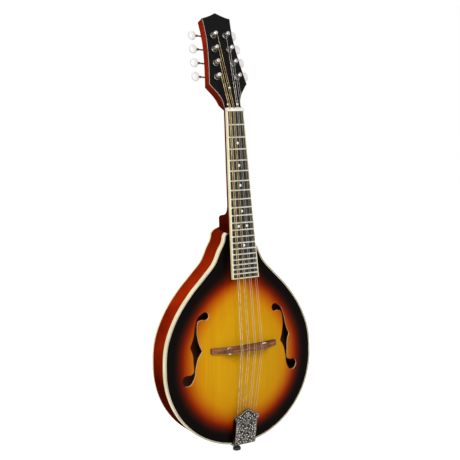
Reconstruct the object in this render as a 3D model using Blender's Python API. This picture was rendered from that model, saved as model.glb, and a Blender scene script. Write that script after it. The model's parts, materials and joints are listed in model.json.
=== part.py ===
"""An A-style mandolin with an arched top, two f-holes and eight strings.

It is built from the separate pieces that a maker glues, screws and strings
together. Everything is in metres. The instrument is upright: +Z runs up the
body, the top faces -Y and X = 0 is the centre line. The origin is the place
where a hanger's yoke holds the instrument, under the flare of the head.
"""

import math

import bmesh
import bpy
from mathutils import Vector

MM = 0.001

# Clearances
GAP = 0.3 * MM          # between pieces that touch
RUNNING_GAP = 0.35 * MM  # between a turning piece and what holds it
OVERCUT = 2.0 * MM      # how far a cutter runs past the face it opens

# Scale and neck
SCALE_LENGTH = 350.0 * MM
JOINT_FRET = 12
FRET_COUNT = 20
NECK_TILT = math.radians(5.6)
HEAD_TILT = math.radians(14.0)
BOARD_RISE = 13.4 * MM
BOARD_THICK = 6.0 * MM
BOARD_PAST_LAST_FRET = 7.7 * MM
BOARD_NUT_WIDTH = 28.5 * MM
BOARD_END_WIDTH = 44.4 * MM
BOARD_BINDING = 1.6 * MM
NECK_DEPTH_NUT = 13.5 * MM
NECK_DEPTH_HEEL = 16.0 * MM
HEEL_WIDTH = 42.0 * MM
HEEL_BLOCK = 14.5 * MM
HEEL_SWEEP = 20.0 * MM
HEEL_BACK = 44.0 * MM
HEEL_REACH = 8.0 * MM
TENON_LENGTH = 12.0 * MM
TENON_ROOT_HALF = 7.0 * MM
TENON_END_HALF = 10.0 * MM
TENON_DEPTH = 30.0 * MM
SUPPORT_SHORT_OF_END = 12.5 * MM
SUPPORT_INSET = 3.0 * MM
SUPPORT_END_THICK = 9.0 * MM
SUPPORT_IN_HEEL = 4.0 * MM

# Frets and nut
FRET_CROWN_WIDTH = 2.2 * MM
FRET_CROWN_HEIGHT = 1.0 * MM
FRET_SEAT_DEPTH = 0.6 * MM
NUT_LENGTH = 5.5 * MM
NUT_RISE = 2.4 * MM
NUT_SLOT_DEPTH = 0.8 * MM

# Head
HEAD_LENGTH = 149.0 * MM
HEAD_APEX = 9.0 * MM
HEAD_THICK = 16.0 * MM
HEAD_ROOT = 15.0 * MM
OVERLAY_THICK = 1.5 * MM
OVERLAY_START = 1.6 * MM
HEAD_TOP_HALF = 23.7 * MM
HEAD_WAIST_HALF = 22.5 * MM
HEAD_WAIST_ALONG = 118.0 * MM
HEAD_FLARE_HALF = 31.8 * MM
HEAD_FLARE_ALONG = 43.5 * MM
HANGER_ALONG = 24.0 * MM

# How far the head's edge swings out past the board's, and how far above the nut
HEAD_NECKLINE = ((1.2 * MM, 18.0 * MM), (4.0 * MM, 25.0 * MM), (11.2 * MM, 35.5 * MM))

# Truss rod
ROD_RADIUS = 2.4 * MM
ROD_DEPTH = 8.0 * MM
ROD_LENGTH = 160.0 * MM
ROD_NUT_RADIUS = 3.0 * MM
ROD_NUT_LENGTH = 8.0 * MM
ROD_NUT_SOCKET = 1.5 * MM
POCKET_HALF = 4.2 * MM
POCKET_START = 3.0 * MM
POCKET_FLOOR = 6.8 * MM
POCKET_END = 24.0 * MM
COVER_THICK = 1.6 * MM
COVER_HALF = 11.0 * MM
COVER_LENGTH = 34.0 * MM
COVER_SCREW_HALF = 8.0 * MM
COVER_SCREW_LOW = 11.0 * MM
COVER_SCREW_HIGH = 37.0 * MM
COVER_SCREW_RADIUS = 1.9 * MM
COVER_SCREW_SHANK = 0.8 * MM

# Tuners
TUNERS_PER_SIDE = 4
TUNER_SPACING = 22.2 * MM
TUNER_LOW_X = 17.2 * MM
TUNER_LOW_ALONG = 54.6 * MM
TUNER_LEAN = math.radians(5.9)
POST_RADIUS = 3.0 * MM
POST_WAIST = 2.5 * MM
POST_HEIGHT = 11.0 * MM
POST_WAIST_LOW = 3.6 * MM
POST_WAIST_HIGH = 8.8 * MM
POST_SHOULDER = 0.6 * MM
BUSHING_FLANGE = 5.0 * MM
BUSHING_FLANGE_THICK = 1.2 * MM
PLATE_THICK = 1.2 * MM
PLATE_HALF = 6.5 * MM
PLATE_OVERHANG = 13.0 * MM
GEAR_TEETH = 15
GEAR_RADIUS = 4.3 * MM
GEAR_ROOT = 3.6 * MM
GEAR_THICK = 4.2 * MM
WORM_RADIUS = 1.8 * MM
WORM_HALF = 3.4 * MM
SHAFT_RADIUS = 1.25 * MM
EAR_NEAR = 3.9 * MM
EAR_THICK = 1.3 * MM
EAR_HALF = 2.4 * MM
KNOB_FROM_POST = 25.5 * MM
KNOB_LENGTH = 12.0 * MM
KNOB_WIDTH = 15.0 * MM
KNOB_THICK = 7.2 * MM

# Body
BODY_WIDTH = 253.4 * MM
WIDEST_BELOW_JOINT = 205.0 * MM
LOWER_RADIUS = 128.0 * MM
BODY_TOP = 0.5 * MM
CROWN_HALF = 24.9 * MM
CROWN_RISE = 12.3 * MM
RIM_DEPTH = 46.0 * MM
RIM_WALL = 2.8 * MM
TOP_BINDING_DEPTH = 8.0 * MM
BACK_BINDING_DEPTH = 4.5 * MM
PLATE_EDGE = 4.2 * MM
ARCH_TOP = 13.0 * MM
ARCH_BACK = 11.0 * MM
ARCH_CENTRE_BELOW = 195.0 * MM
LINING_WIDTH = 6.0 * MM
LINING_DEPTH = 7.5 * MM
NECK_BLOCK_LENGTH = 33.0 * MM
TAIL_BLOCK_LENGTH = 26.0 * MM
TONE_BAR_X = 24.0 * MM
TONE_BAR_HALF = 3.0 * MM
TONE_BAR_HEIGHT = 9.0 * MM
TONE_BAR_TOP = 92.0 * MM
TONE_BAR_BOTTOM = 262.0 * MM

# Shoulder knots from the widest point to the crown: share of the width, share of the height
SHOULDER_KNOTS = (
    (0.966, 0.211), (0.819, 0.402), (0.561, 0.590), (0.340, 0.709), (0.169, 0.808),
    (0.091, 0.893),
)
SHOULDER_STEPS = 12
CROWN_STEPS = 4
LOWER_STEPS = 10

# F-holes, on the treble side, measured from the line between their nicks
FHOLE_LINE_BELOW = 177.0 * MM
FHOLE_UPPER_EYE = (60.5 * MM, 51.0 * MM, 6.1 * MM)
FHOLE_LOWER_EYE = (91.2 * MM, -43.3 * MM, 8.6 * MM)
FHOLE_OUTER_NICK = (86.4 * MM, 6.3 * MM)
FHOLE_INNER_NICK = (67.6 * MM, -1.2 * MM)
FHOLE_OUTER_UPPER = ((80.9 * MM, 20.5 * MM), (76.9 * MM, 38.8 * MM), (71.2 * MM, 51.4 * MM))
FHOLE_INNER_UPPER = ((70.8 * MM, 44.4 * MM), (74.0 * MM, 31.0 * MM), (71.8 * MM, 10.8 * MM))
FHOLE_INNER_LOWER = ((73.5 * MM, -10.6 * MM), (77.8 * MM, -25.4 * MM), (80.3 * MM, -41.2 * MM))
FHOLE_OUTER_LOWER = ((83.6 * MM, -33.6 * MM), (82.0 * MM, -17.0 * MM), (82.9 * MM, -4.0 * MM))
EYE_STEP = math.radians(36.0)

# Bridge
BRIDGE_COMPENSATION = 5.2 * MM
BRIDGE_BASE_HALF = 55.5 * MM
BRIDGE_BASE_WIDTH = 8.2 * MM
BRIDGE_BASE_OUT = 17.2 * MM
BRIDGE_FLAT_HALF = 38.0 * MM
BRIDGE_FOOT_HEIGHT = 6.2 * MM
SADDLE_HALF = 38.5 * MM
SADDLE_CROWN_HALF = 25.0 * MM
SADDLE_END_HEIGHT = 5.0 * MM
SADDLE_FOOT_WIDTH = 6.0 * MM
SADDLE_TOP_WIDTH = 3.4 * MM
STUD_X = 30.0 * MM
STUD_RADIUS = 1.5 * MM
STUD_IN_BASE = 4.0 * MM
STUD_IN_SADDLE = 6.0 * MM
WHEEL_RADIUS = 5.4 * MM
WHEEL_THICK = 2.8 * MM
WHEEL_FLAT_COUNT = 16
LIFT_DOWN = 1.2 * MM
STRING_OVER_BOARD_END = 4.2 * MM

# Tailpiece and end pin
HOOK_ABOVE_END = 33.0 * MM
HOOK_OUT = 11.5 * MM
HOOK_HALF = 0.5 * MM
HOOK_HEAD = 1.4 * MM
TAIL_PLATE_THICK = 1.2 * MM
TAIL_PLATE_UNDER = 3.0 * MM
TAIL_PLATE_HALF = 17.2 * MM
TAIL_PLATE_FRONT = 15.0 * MM
TAIL_LEG_BACK = 31.0 * MM
TAIL_COVER_HALF = 18.6 * MM
TAIL_COVER_WALL = 0.9 * MM
TAIL_COVER_OUT = 2.6 * MM
TAIL_COVER_APEX = 28.5 * MM
TAIL_COVER_SHOULDER = 18.5 * MM
TAIL_COVER_TAIL = 31.0 * MM
TAIL_EAR_HALF = 21.4 * MM
TAIL_EAR_HIGH = 17.0 * MM
TAIL_EAR_LOW = 10.0 * MM
TAIL_SCREW_RADIUS = 2.4 * MM
TAIL_SCREW_SHANK = 1.3 * MM
TAIL_SCREW_LENGTH = 14.0 * MM
TAIL_SCREW_X = 11.0 * MM
TAIL_SCREW_Y = 24.0 * MM
PIN_Y = 16.5 * MM
PIN_HEAD_RADIUS = 6.5 * MM
PIN_NECK_RADIUS = 3.7 * MM
PIN_FACE_RADIUS = 5.2 * MM
PIN_LENGTH = 14.0 * MM
PIN_SHANK_LENGTH = 20.0 * MM
PIN_SHANK_TAPER = 0.8 * MM

# Strings, from the bass pair to the treble pair
STRING_DIAMETERS = (1.02 * MM, 0.70 * MM, 0.40 * MM, 0.30 * MM)
NUT_COURSES = (-10.0 * MM, -3.4 * MM, 3.4 * MM, 10.0 * MM)
SADDLE_COURSES = (-17.3 * MM, -5.8 * MM, 5.8 * MM, 17.3 * MM)
HOOK_COURSES = (-13.0 * MM, -4.6 * MM, 4.6 * MM, 13.0 * MM)
NUT_PAIR_HALF = 1.2 * MM
SADDLE_PAIR_HALF = 1.5 * MM
HOOK_PAIR_HALF = 2.1 * MM
STRING_OVER_NUT = 1.4 * MM
WIND_TURNS = 1.5
WIND_POINT_COUNT = 24
WIND_SPACE = 0.5 * MM
LOOP_POINT_COUNT = 8


class Axes:
    """A place on the instrument with its own directions: x, along and out."""

    def __init__(self, origin, tilt):
        self.origin = Vector(origin)
        self.tilt = tilt
        self.along = Vector((0.0, math.sin(tilt), math.cos(tilt)))
        self.out = Vector((0.0, -math.cos(tilt), math.sin(tilt)))

    def point(self, x, along, out):
        """The point at these distances from the origin."""
        return self.origin + Vector((x, 0.0, 0.0)) + self.along * along + self.out * out


def fret_from_nut(number):
    """Distance of a fret from the nut, by the rule of equal temperament."""
    return SCALE_LENGTH * (1.0 - 2.0 ** (-number / 12.0))


NUT_ALONG = fret_from_nut(JOINT_FRET)
BOARD_LENGTH = fret_from_nut(FRET_COUNT) + BOARD_PAST_LAST_FRET


def lay_out(joint):
    """The axes of body, neck and head for a joint at this point of the rim plane."""
    body = Axes(joint, 0.0)
    neck = Axes(body.point(0.0, 0.0, BOARD_RISE), NECK_TILT)
    head = Axes(neck.point(0.0, NUT_ALONG, -BOARD_THICK), NECK_TILT + HEAD_TILT)
    return body, neck, head


HANGER = lay_out(Vector())[2].point(0.0, HANGER_ALONG, -HEAD_THICK / 2.0)
BODY, NECK, HEAD = lay_out(-HANGER)

# Places that follow from the sizes above, in the body's axes
BODY_END = -(WIDEST_BELOW_JOINT + LOWER_RADIUS)
BRIDGE_ALONG = NUT_ALONG - SCALE_LENGTH - BRIDGE_COMPENSATION
STRING_REST = NECK.point(0.0, BRIDGE_ALONG, STRING_OVER_BOARD_END) - BODY.origin
BRIDGE_Z = STRING_REST.z
STRING_OUT = -STRING_REST.y
HOOK_Z = BODY_END + HOOK_ABOVE_END
TAIL = Axes(
    BODY.point(0.0, HOOK_Z, HOOK_OUT),
    -math.atan2(STRING_OUT - HOOK_OUT, BRIDGE_Z - HOOK_Z),
)
PLATE_INSET = RIM_WALL + GAP
ROD_OUT = -BOARD_THICK - ROD_DEPTH
ROD_START = NUT_ALONG - ROD_LENGTH
ROD_NUT_START = NUT_ALONG + NUT_LENGTH + POCKET_START + 1.0 * MM


def finish(name, colour, roughness, metallic=0.0):
    """A material with one plain surface."""
    material = bpy.data.materials.new(name)
    material.use_nodes = True
    shader = material.node_tree.nodes["Principled BSDF"]
    shader.inputs["Base Color"].default_value = (*colour, 1.0)
    shader.inputs["Roughness"].default_value = roughness
    shader.inputs["Metallic"].default_value = metallic
    material.diffuse_color = (*colour, 1.0)
    return material


def add_solid(name, shells, material, origin=Vector(), smooth=None):
    """One object made of closed shells, each a pair of points and faces."""
    mesh = bpy.data.meshes.new(name)
    points, faces = [], []
    for shell_points, shell_faces in shells:
        start = len(points)
        points += [Vector(point) - origin for point in shell_points]
        faces += [tuple(index + start for index in face) for face in shell_faces]
    mesh.from_pydata(points, [], faces)
    work = bmesh.new()
    work.from_mesh(mesh)
    bmesh.ops.recalc_face_normals(work, faces=work.faces)
    work.to_mesh(mesh)
    work.free()
    if smooth is not None:
        mesh.shade_smooth()
        mesh.set_sharp_from_angle(angle=smooth)
    if material:
        mesh.materials.append(material)
    obj = bpy.data.objects.new(name, mesh)
    obj.location = origin
    bpy.context.scene.collection.objects.link(obj)
    return obj


def carve(target, name, shells, operation="DIFFERENCE"):
    """Cut shells out of an object, or join them to it, with a Boolean modifier."""
    tool = add_solid(name, shells, None)
    tool.hide_render = True
    tool.display_type = "WIRE"
    modifier = target.modifiers.new(name, "BOOLEAN")
    modifier.operation = operation
    modifier.solver = "EXACT"
    modifier.object = tool
    return modifier


def skin(rings):
    """A closed shell through rings of equal length, with a flat cap at each end."""
    count = len(rings[0])
    points = [point for ring in rings for point in ring]
    faces = []
    for level in range(len(rings) - 1):
        low = level * count
        for step in range(count):
            after = (step + 1) % count
            faces.append((low + step, low + after, low + count + after, low + count + step))
    faces.append(tuple(reversed(range(count))))
    faces.append(tuple(range(len(points) - count, len(points))))
    return points, faces


def prism(axes, outline, low, high):
    """A shell with one outline of (x, along), from one height to another."""
    rings = [[axes.point(x, along, out) for x, along in outline] for out in (low, high)]
    return skin(rings)


def box(axes, x_range, along_range, out_range):
    """A rectangular shell."""
    (x0, x1), (a0, a1) = x_range, along_range
    return prism(axes, [(x0, a0), (x1, a0), (x1, a1), (x0, a1)], *out_range)


def band(axes, outer, inner, low, high):
    """A closed shell between two outlines of equal length."""
    loops = [
        [axes.point(x, along, out) for x, along in outline]
        for outline, out in ((outer, low), (outer, high), (inner, high), (inner, low))
    ]
    count = len(outer)
    points = [point for loop in loops for point in loop]
    faces = []
    for ring in range(4):
        this, other = ring * count, ((ring + 1) % 4) * count
        for step in range(count):
            after = (step + 1) % count
            faces.append((this + step, this + after, other + after, other + step))
    return points, faces


def turned(centre, axis, side, profile, sides):
    """A shell turned about an axis: profile is (distance, radius) or (distance, wide, thick)."""
    other = axis.cross(side)
    rings = []
    for distance, wide, *thick in profile:
        narrow = thick[0] if thick else wide
        ring = []
        for step in range(sides):
            angle = 2.0 * math.pi * step / sides
            ring.append(
                centre + axis * distance
                + side * (wide * math.cos(angle)) + other * (narrow * math.sin(angle))
            )
        rings.append(ring)
    return skin(rings)


def washer(centre, axis, side, profile, sides):
    """A closed ring: profile is a loop of (distance, radius) that doesn't reach the axis."""
    other = axis.cross(side)
    points, faces = [], []
    count = len(profile)
    for step in range(sides):
        angle = 2.0 * math.pi * step / sides
        spoke = side * math.cos(angle) + other * math.sin(angle)
        points += [centre + axis * distance + spoke * radius for distance, radius in profile]
    for step in range(sides):
        this, other_ring = step * count, ((step + 1) % sides) * count
        for index in range(count):
            after = (index + 1) % count
            faces.append((this + index, this + after, other_ring + after, other_ring + index))
    return points, faces


def rod(start, end, radius, sides):
    """A plain round rod between two points."""
    axis = (end - start).normalized()
    side = axis.orthogonal().normalized()
    return turned(start, axis, side, [(0.0, radius), ((end - start).length, radius)], sides)


def smooth_curve(knots, steps, first=None, last=None):
    """Points on a smooth curve through the knots, evenly spread over its spans."""
    knots = [Vector(knot) for knot in knots]
    spans = [(b - a).length for a, b in zip(knots, knots[1:])]
    slopes = []
    for index in range(len(knots)):
        if index == 0:
            slopes.append(Vector(first) if first else (knots[1] - knots[0]) / spans[0])
        elif index == len(knots) - 1:
            slopes.append(Vector(last) if last else (knots[-1] - knots[-2]) / spans[-1])
        else:
            before, after = spans[index - 1], spans[index]
            rise = (knots[index] - knots[index - 1]) / before * after
            run = (knots[index + 1] - knots[index]) / after * before
            slopes.append((rise + run) / (before + after))
    total = sum(spans)
    curve = []
    for step in range(steps):
        reach = total * step / (steps - 1)
        index = 0
        while index < len(spans) - 1 and reach > spans[index]:
            reach -= spans[index]
            index += 1
        span = spans[index]
        t = min(reach / span, 1.0)
        curve.append(
            knots[index] * (2 * t**3 - 3 * t**2 + 1)
            + slopes[index] * span * (t**3 - 2 * t**2 + t)
            + knots[index + 1] * (3 * t**2 - 2 * t**3)
            + slopes[index + 1] * span * (t**3 - t**2)
        )
    return curve


def quarter(wide, high, steps):
    """Points on a quarter of an ellipse, from its side to its top, without the side."""
    angles = [0.5 * math.pi * step / steps for step in range(1, steps + 1)]
    return [(wide * math.cos(angle), high * math.sin(angle)) for angle in angles]


def half_outline():
    """The treble half of the body's outer edge, from its top at the heel down to its end."""
    half, base = BODY_WIDTH / 2.0, BODY_TOP - CROWN_RISE
    height = base + WIDEST_BELOW_JOINT
    knots = [(half, -WIDEST_BELOW_JOINT)]
    for share_x, share_z in SHOULDER_KNOTS:
        knots.append((CROWN_HALF + share_x * (half - CROWN_HALF),
                      share_z * height - WIDEST_BELOW_JOINT))
    knots.append((CROWN_HALF, base))
    shoulder = smooth_curve(knots, SHOULDER_STEPS, first=(0.0, 1.0), last=(0.0, 1.0))
    crown = [Vector((x, base + z)) for x, z in quarter(CROWN_HALF, CROWN_RISE, CROWN_STEPS)]
    lower = [Vector((x, -WIDEST_BELOW_JOINT - z))
             for x, z in quarter(half, LOWER_RADIUS, LOWER_STEPS)]
    return crown[::-1] + shoulder[::-1] + lower


HALF_OUTLINE = half_outline()


def half_inset(inset):
    """The treble half of the body's edge, moved inwards by a distance."""
    points = []
    last = len(HALF_OUTLINE) - 1
    for index, point in enumerate(HALF_OUTLINE):
        before, after = HALF_OUTLINE[max(index - 1, 0)], HALF_OUTLINE[min(index + 1, last)]
        along = (after - before).normalized()
        inward = Vector((along.y, -along.x))
        moved = point + inward * inset
        if index == 0:
            moved = Vector((0.0, BODY_TOP - inset))
        if index == last:
            moved = Vector((0.0, BODY_END + inset))
        points.append((moved.x, moved.y))
    return points


def outline(inset):
    """The body's whole edge, moved inwards: down the treble side and up the bass side."""
    half = half_inset(inset)
    return half + [(-x, z) for x, z in reversed(half[1:-1])]


PLATE_OUTLINE = outline(PLATE_INSET)


def edge_share(x, z):
    """How far a point lies from the arch's centre, as a share of the way to the plate's edge."""
    start = Vector((0.0, -ARCH_CENTRE_BELOW))
    ray = Vector((x, z)) - start
    if ray.length < GAP:
        return 0.0
    share = 0.0
    for index, point in enumerate(PLATE_OUTLINE):
        a = Vector(point) - start
        edge = Vector(PLATE_OUTLINE[(index + 1) % len(PLATE_OUTLINE)]) - start - a
        across = ray.x * edge.y - ray.y * edge.x
        if abs(across) < 1e-12:
            continue
        reach = (a.x * edge.y - a.y * edge.x) / across
        place = (a.x * ray.y - a.y * ray.x) / across
        if reach > 0.0 and -1e-6 <= place <= 1.0 + 1e-6:
            share = max(share, 1.0 / reach)
    return min(share, 1.0)


def arch(share):
    """The height of an arch, as a share of its middle's, at a share of the way to the edge."""
    return 0.5 * (1.0 + math.cos(math.pi * share))


def top_height(x, z):
    """How far the soundboard's face stands in front of the rim plane."""
    return ARCH_TOP * arch(edge_share(x, z))


def arched_plate(shares, front, height, thick, sign):
    """A carved plate: its face at front, arching by height in the direction of sign."""
    centre = Vector((0.0, -ARCH_CENTRE_BELOW))
    count = len(PLATE_OUTLINE)
    points, faces = [], []
    for layer in (0, 1):
        for share in shares:
            out = sign * height * arch(share) + front - sign * layer * thick
            for x, z in PLATE_OUTLINE:
                spot = centre + (Vector((x, z)) - centre) * share
                points.append(BODY.point(spot.x, spot.y, out))
        out = sign * height + front - sign * layer * thick
        points.append(BODY.point(centre.x, centre.y, out))
    layer_size = count * len(shares) + 1
    for layer in (0, 1):
        base = layer * layer_size
        for ring in range(len(shares) - 1):
            low, high = base + ring * count, base + (ring + 1) * count
            for step in range(count):
                after = (step + 1) % count
                faces.append((low + step, low + after, high + after, high + step))
        last = base + (len(shares) - 1) * count
        for step in range(count):
            faces.append((last + step, last + (step + 1) % count, base + layer_size - 1))
    for step in range(count):
        after = (step + 1) % count
        faces.append((step, after, layer_size + after, layer_size + step))
    return points, faces


def arc_between(centre, radius, start, end):
    """Points on a circle from one bearing to another, turning clockwise."""
    while end > start:
        end -= 2.0 * math.pi
    steps = max(2, round((start - end) / EYE_STEP))
    return [
        (centre[0] + radius * math.cos(start + (end - start) * step / steps),
         centre[1] + radius * math.sin(start + (end - start) * step / steps))
        for step in range(steps + 1)
    ]


def fhole(side):
    """The outline of one f-hole: side is 1 for treble, -1 for bass."""
    def bearing(eye, point):
        return math.atan2(point[1] - eye[1], point[0] - eye[0])

    upper, lower = FHOLE_UPPER_EYE, FHOLE_LOWER_EYE
    upper_eye = arc_between(
        upper, upper[2],
        bearing(upper, FHOLE_INNER_UPPER[0]) - 0.5, bearing(upper, FHOLE_OUTER_UPPER[-1]) + 0.9,
    )
    lower_eye = arc_between(
        lower, lower[2],
        bearing(lower, FHOLE_OUTER_LOWER[0]) - 0.35, bearing(lower, FHOLE_INNER_LOWER[-1]) + 0.5,
    )
    points = [FHOLE_OUTER_NICK]
    points += reversed(FHOLE_OUTER_LOWER[1:])
    points.append(FHOLE_OUTER_LOWER[0])
    points += lower_eye
    points += reversed(FHOLE_INNER_LOWER)
    points.append(FHOLE_INNER_NICK)
    points += reversed(FHOLE_INNER_UPPER)
    points += upper_eye
    points += reversed(FHOLE_OUTER_UPPER)
    return [(side * x, z - FHOLE_LINE_BELOW) for x, z in points]


def board_half(along):
    """Half the fretboard's width at a distance along the neck."""
    share = (NUT_ALONG - along) / BOARD_LENGTH
    return 0.5 * (BOARD_NUT_WIDTH + (BOARD_END_WIDTH - BOARD_NUT_WIDTH) * share)


def head_half(along):
    """Half the head's width, above the flare's corners."""
    waist, top = HEAD_WAIST_ALONG, HEAD_LENGTH
    if along < waist:
        share = (waist - along) / (waist - HEAD_FLARE_ALONG)
        return HEAD_WAIST_HALF + (HEAD_FLARE_HALF - HEAD_WAIST_HALF) * share**1.45
    share = (along - waist) / (top - waist)
    return HEAD_WAIST_HALF + (HEAD_TOP_HALF - HEAD_WAIST_HALF) * share**2


def head_outline(start):
    """The head's outline from a distance above the nut's front, treble side first."""
    foot = board_half(NUT_ALONG)
    knots = [(foot + swing, along) for swing, along in HEAD_NECKLINE]
    neckline = smooth_curve(
        [(foot, start)] + knots + [(HEAD_FLARE_HALF, HEAD_FLARE_ALONG)],
        8, first=(0.0, 1.0),
    )
    half = [(point.x, point.y) for point in neckline]
    for share in (0.12, 0.3, 0.5, 0.75, 1.0):
        along = HEAD_FLARE_ALONG + (HEAD_WAIST_ALONG - HEAD_FLARE_ALONG) * share
        half.append((head_half(along), along))
    half.append((head_half(0.5 * (HEAD_WAIST_ALONG + HEAD_LENGTH)),
                 0.5 * (HEAD_WAIST_ALONG + HEAD_LENGTH)))
    for share in (1.0, 0.66, 0.33):
        rise = HEAD_APEX * (1.0 - share) ** 1.4
        half.append((HEAD_TOP_HALF * share, HEAD_LENGTH + rise))
    return half + [(0.0, HEAD_LENGTH + HEAD_APEX)] + [(-x, along) for x, along in reversed(half)]


def course_place(index, courses, pair_half):
    """The x of one of the eight strings where the courses have these centres."""
    return courses[index // 2] + (-pair_half if index % 2 == 0 else pair_half)


class Tuner:
    """One post with its gear, worm shaft and knob, and where they stand."""

    def __init__(self, side, number):
        self.side = side
        lean = -side * TUNER_LEAN
        up = Vector((math.sin(lean), math.cos(lean)))
        outward = Vector((side * math.cos(lean), -side * math.sin(lean)))
        low = Vector((side * TUNER_LOW_X, TUNER_LOW_ALONG))
        self.place = low + up * (TUNER_SPACING * number)
        self.up = HEAD.along * up.y + Vector((up.x, 0.0, 0.0))
        self.outward = HEAD.along * outward.y + Vector((outward.x, 0.0, 0.0))
        self.centre = HEAD.point(self.place.x, self.place.y, 0.0)
        self.bank = "bass" if side < 0 else "treble"
        self.label = f"{self.bank}_{number + 1}"

    def at(self, outward, up, out):
        """A point measured from the post's centre on the head's face."""
        return self.centre + self.outward * outward + self.up * up + HEAD.out * out


TUNERS = [Tuner(side, number) for side in (-1, 1) for number in range(TUNERS_PER_SIDE)]
PLATE_FACE = -HEAD_THICK - GAP - PLATE_THICK
GEAR_FACE = PLATE_FACE - GAP
WORM_UP = GEAR_RADIUS + WORM_RADIUS + GAP
WORM_OUT = GEAR_FACE - 0.5 * GEAR_THICK
POST_BORE = POST_RADIUS + RUNNING_GAP


def post_bores(low, high, radius):
    """Round cutters through the head at every tuner post."""
    shells = []
    for tuner in TUNERS:
        shells.append(rod(tuner.at(0.0, 0.0, low), tuner.at(0.0, 0.0, high), radius, 10))
    return shells


def cover_outline():
    """The truss rod cover's bell shape."""
    low = NUT_LENGTH + 2.0 * MM
    high = low + COVER_LENGTH
    half = [
        (COVER_HALF, low), (COVER_HALF, low + 0.18 * COVER_LENGTH),
        (0.68 * COVER_HALF, low + 0.4 * COVER_LENGTH), (0.44 * COVER_HALF, low + 0.65 * COVER_LENGTH),
        (0.37 * COVER_HALF, low + 0.9 * COVER_LENGTH), (0.2 * COVER_HALF, high),
    ]
    return half + [(-x, along) for x, along in reversed(half)]


def cover_screws():
    """Where the truss rod cover's screws stand."""
    return (
        (-COVER_SCREW_HALF, COVER_SCREW_LOW),
        (COVER_SCREW_HALF, COVER_SCREW_LOW),
        (0.0, COVER_SCREW_HIGH),
    )


def make_finishes():
    """Every material, under the name of what it covers."""
    return {
        "spruce": finish("spruce_sunburst", (0.72, 0.36, 0.03), 0.25),
        "maple": finish("maple_red", (0.28, 0.04, 0.015), 0.25),
        "raw": finish("raw_wood", (0.62, 0.45, 0.26), 0.7),
        "rosewood": finish("rosewood", (0.10, 0.045, 0.025), 0.5),
        "cream": finish("cream_plastic", (0.90, 0.84, 0.60), 0.35),
        "pale": finish("white_plastic", (0.88, 0.86, 0.78), 0.3),
        "black": finish("black_lacquer", (0.012, 0.011, 0.011), 0.12),
        "pearl": finish("pearl", (0.86, 0.86, 0.84), 0.25),
        "nickel": finish("nickel", (0.70, 0.69, 0.66), 0.25, 1.0),
        "steel": finish("steel", (0.62, 0.62, 0.62), 0.3, 1.0),
        "bronze": finish("bronze_winding", (0.62, 0.45, 0.24), 0.35, 1.0),
    }


def make_body(finishes):
    """Soundboard, back, rim, bindings, linings, blocks and tone bars."""
    half_turn = math.radians(40.0)
    shares = (1.0, 0.88, 0.74, 0.58, 0.42, 0.26, 0.12)
    board = add_solid(
        "soundboard", [arched_plate(shares, 0.0, ARCH_TOP, PLATE_EDGE, 1.0)],
        finishes["spruce"], smooth=half_turn,
    )
    depth = ARCH_TOP + OVERCUT
    carve(board, "fhole_cutters", [
        prism(BODY, fhole(side), -PLATE_EDGE - OVERCUT, depth) for side in (-1, 1)
    ])
    add_solid(
        "back_plate",
        [arched_plate((1.0, 0.8, 0.56, 0.3), -RIM_DEPTH, ARCH_BACK, PLATE_EDGE, -1.0)],
        finishes["maple"], smooth=half_turn,
    )
    outer, inner = outline(0.0), outline(RIM_WALL)
    add_solid("top_binding", [band(BODY, outer, inner, -TOP_BINDING_DEPTH, 0.0)],
              finishes["cream"], smooth=half_turn)
    back_edge = BACK_BINDING_DEPTH - RIM_DEPTH
    add_solid("back_binding", [band(BODY, outer, inner, -RIM_DEPTH, back_edge)],
              finishes["cream"], smooth=half_turn)
    rim = add_solid(
        "rim", [band(BODY, outer, inner, back_edge + GAP, -TOP_BINDING_DEPTH - GAP)],
        finishes["maple"], smooth=half_turn,
    )
    block = make_blocks(finishes)
    make_linings(finishes, block)
    make_tone_bars(finishes)
    carve(rim, "rim_tenon_cutter", [tenon(GAP)])
    carve(rim, "rim_tail_bores", tail_bores())
    carve(block, "tail_block_bores", tail_bores())


def lining_strip(near, far, clearance=0.0):
    """A lining's shell: a strip along the rim's inner face, open at the neck block."""
    outer = outline(PLATE_INSET - clearance)
    inner = outline(PLATE_INSET + LINING_WIDTH + clearance)
    high = BODY_TOP - PLATE_INSET - NECK_BLOCK_LENGTH - OVERCUT + clearance
    keep = [index for index, point in enumerate(outer)
            if point[1] < high and inner[index][1] < high]
    strip = [outer[index] for index in keep] + [inner[index] for index in reversed(keep)]
    return prism(BODY, strip, near - clearance, far + clearance)


def make_linings(finishes, tail_block):
    """Strips that stiffen the joint of rim and plates, let into the tail block."""
    top_face = -PLATE_EDGE - GAP
    back_face = PLATE_EDGE + GAP - RIM_DEPTH
    rebates = []
    for name, near, far in (
        ("top_lining", top_face - LINING_DEPTH, top_face),
        ("back_lining", back_face, back_face + LINING_DEPTH),
    ):
        add_solid(name, [lining_strip(near, far)], finishes["raw"])
        rebates.append(lining_strip(near, far, GAP))
    carve(tail_block, "lining_rebates", rebates)


def tenon(clearance):
    """The heel's tapered tenon, which locks into the neck block."""
    outline_points = [
        (-TENON_ROOT_HALF - clearance, BODY_TOP + OVERCUT),
        (TENON_ROOT_HALF + clearance, BODY_TOP + OVERCUT),
        (TENON_END_HALF + clearance, BODY_TOP - TENON_LENGTH - clearance),
        (-TENON_END_HALF - clearance, BODY_TOP - TENON_LENGTH - clearance),
    ]
    low = -TOP_BINDING_DEPTH - OVERCUT - TENON_DEPTH
    return prism(BODY, outline_points, low - clearance, -TOP_BINDING_DEPTH - OVERCUT + clearance)


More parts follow.
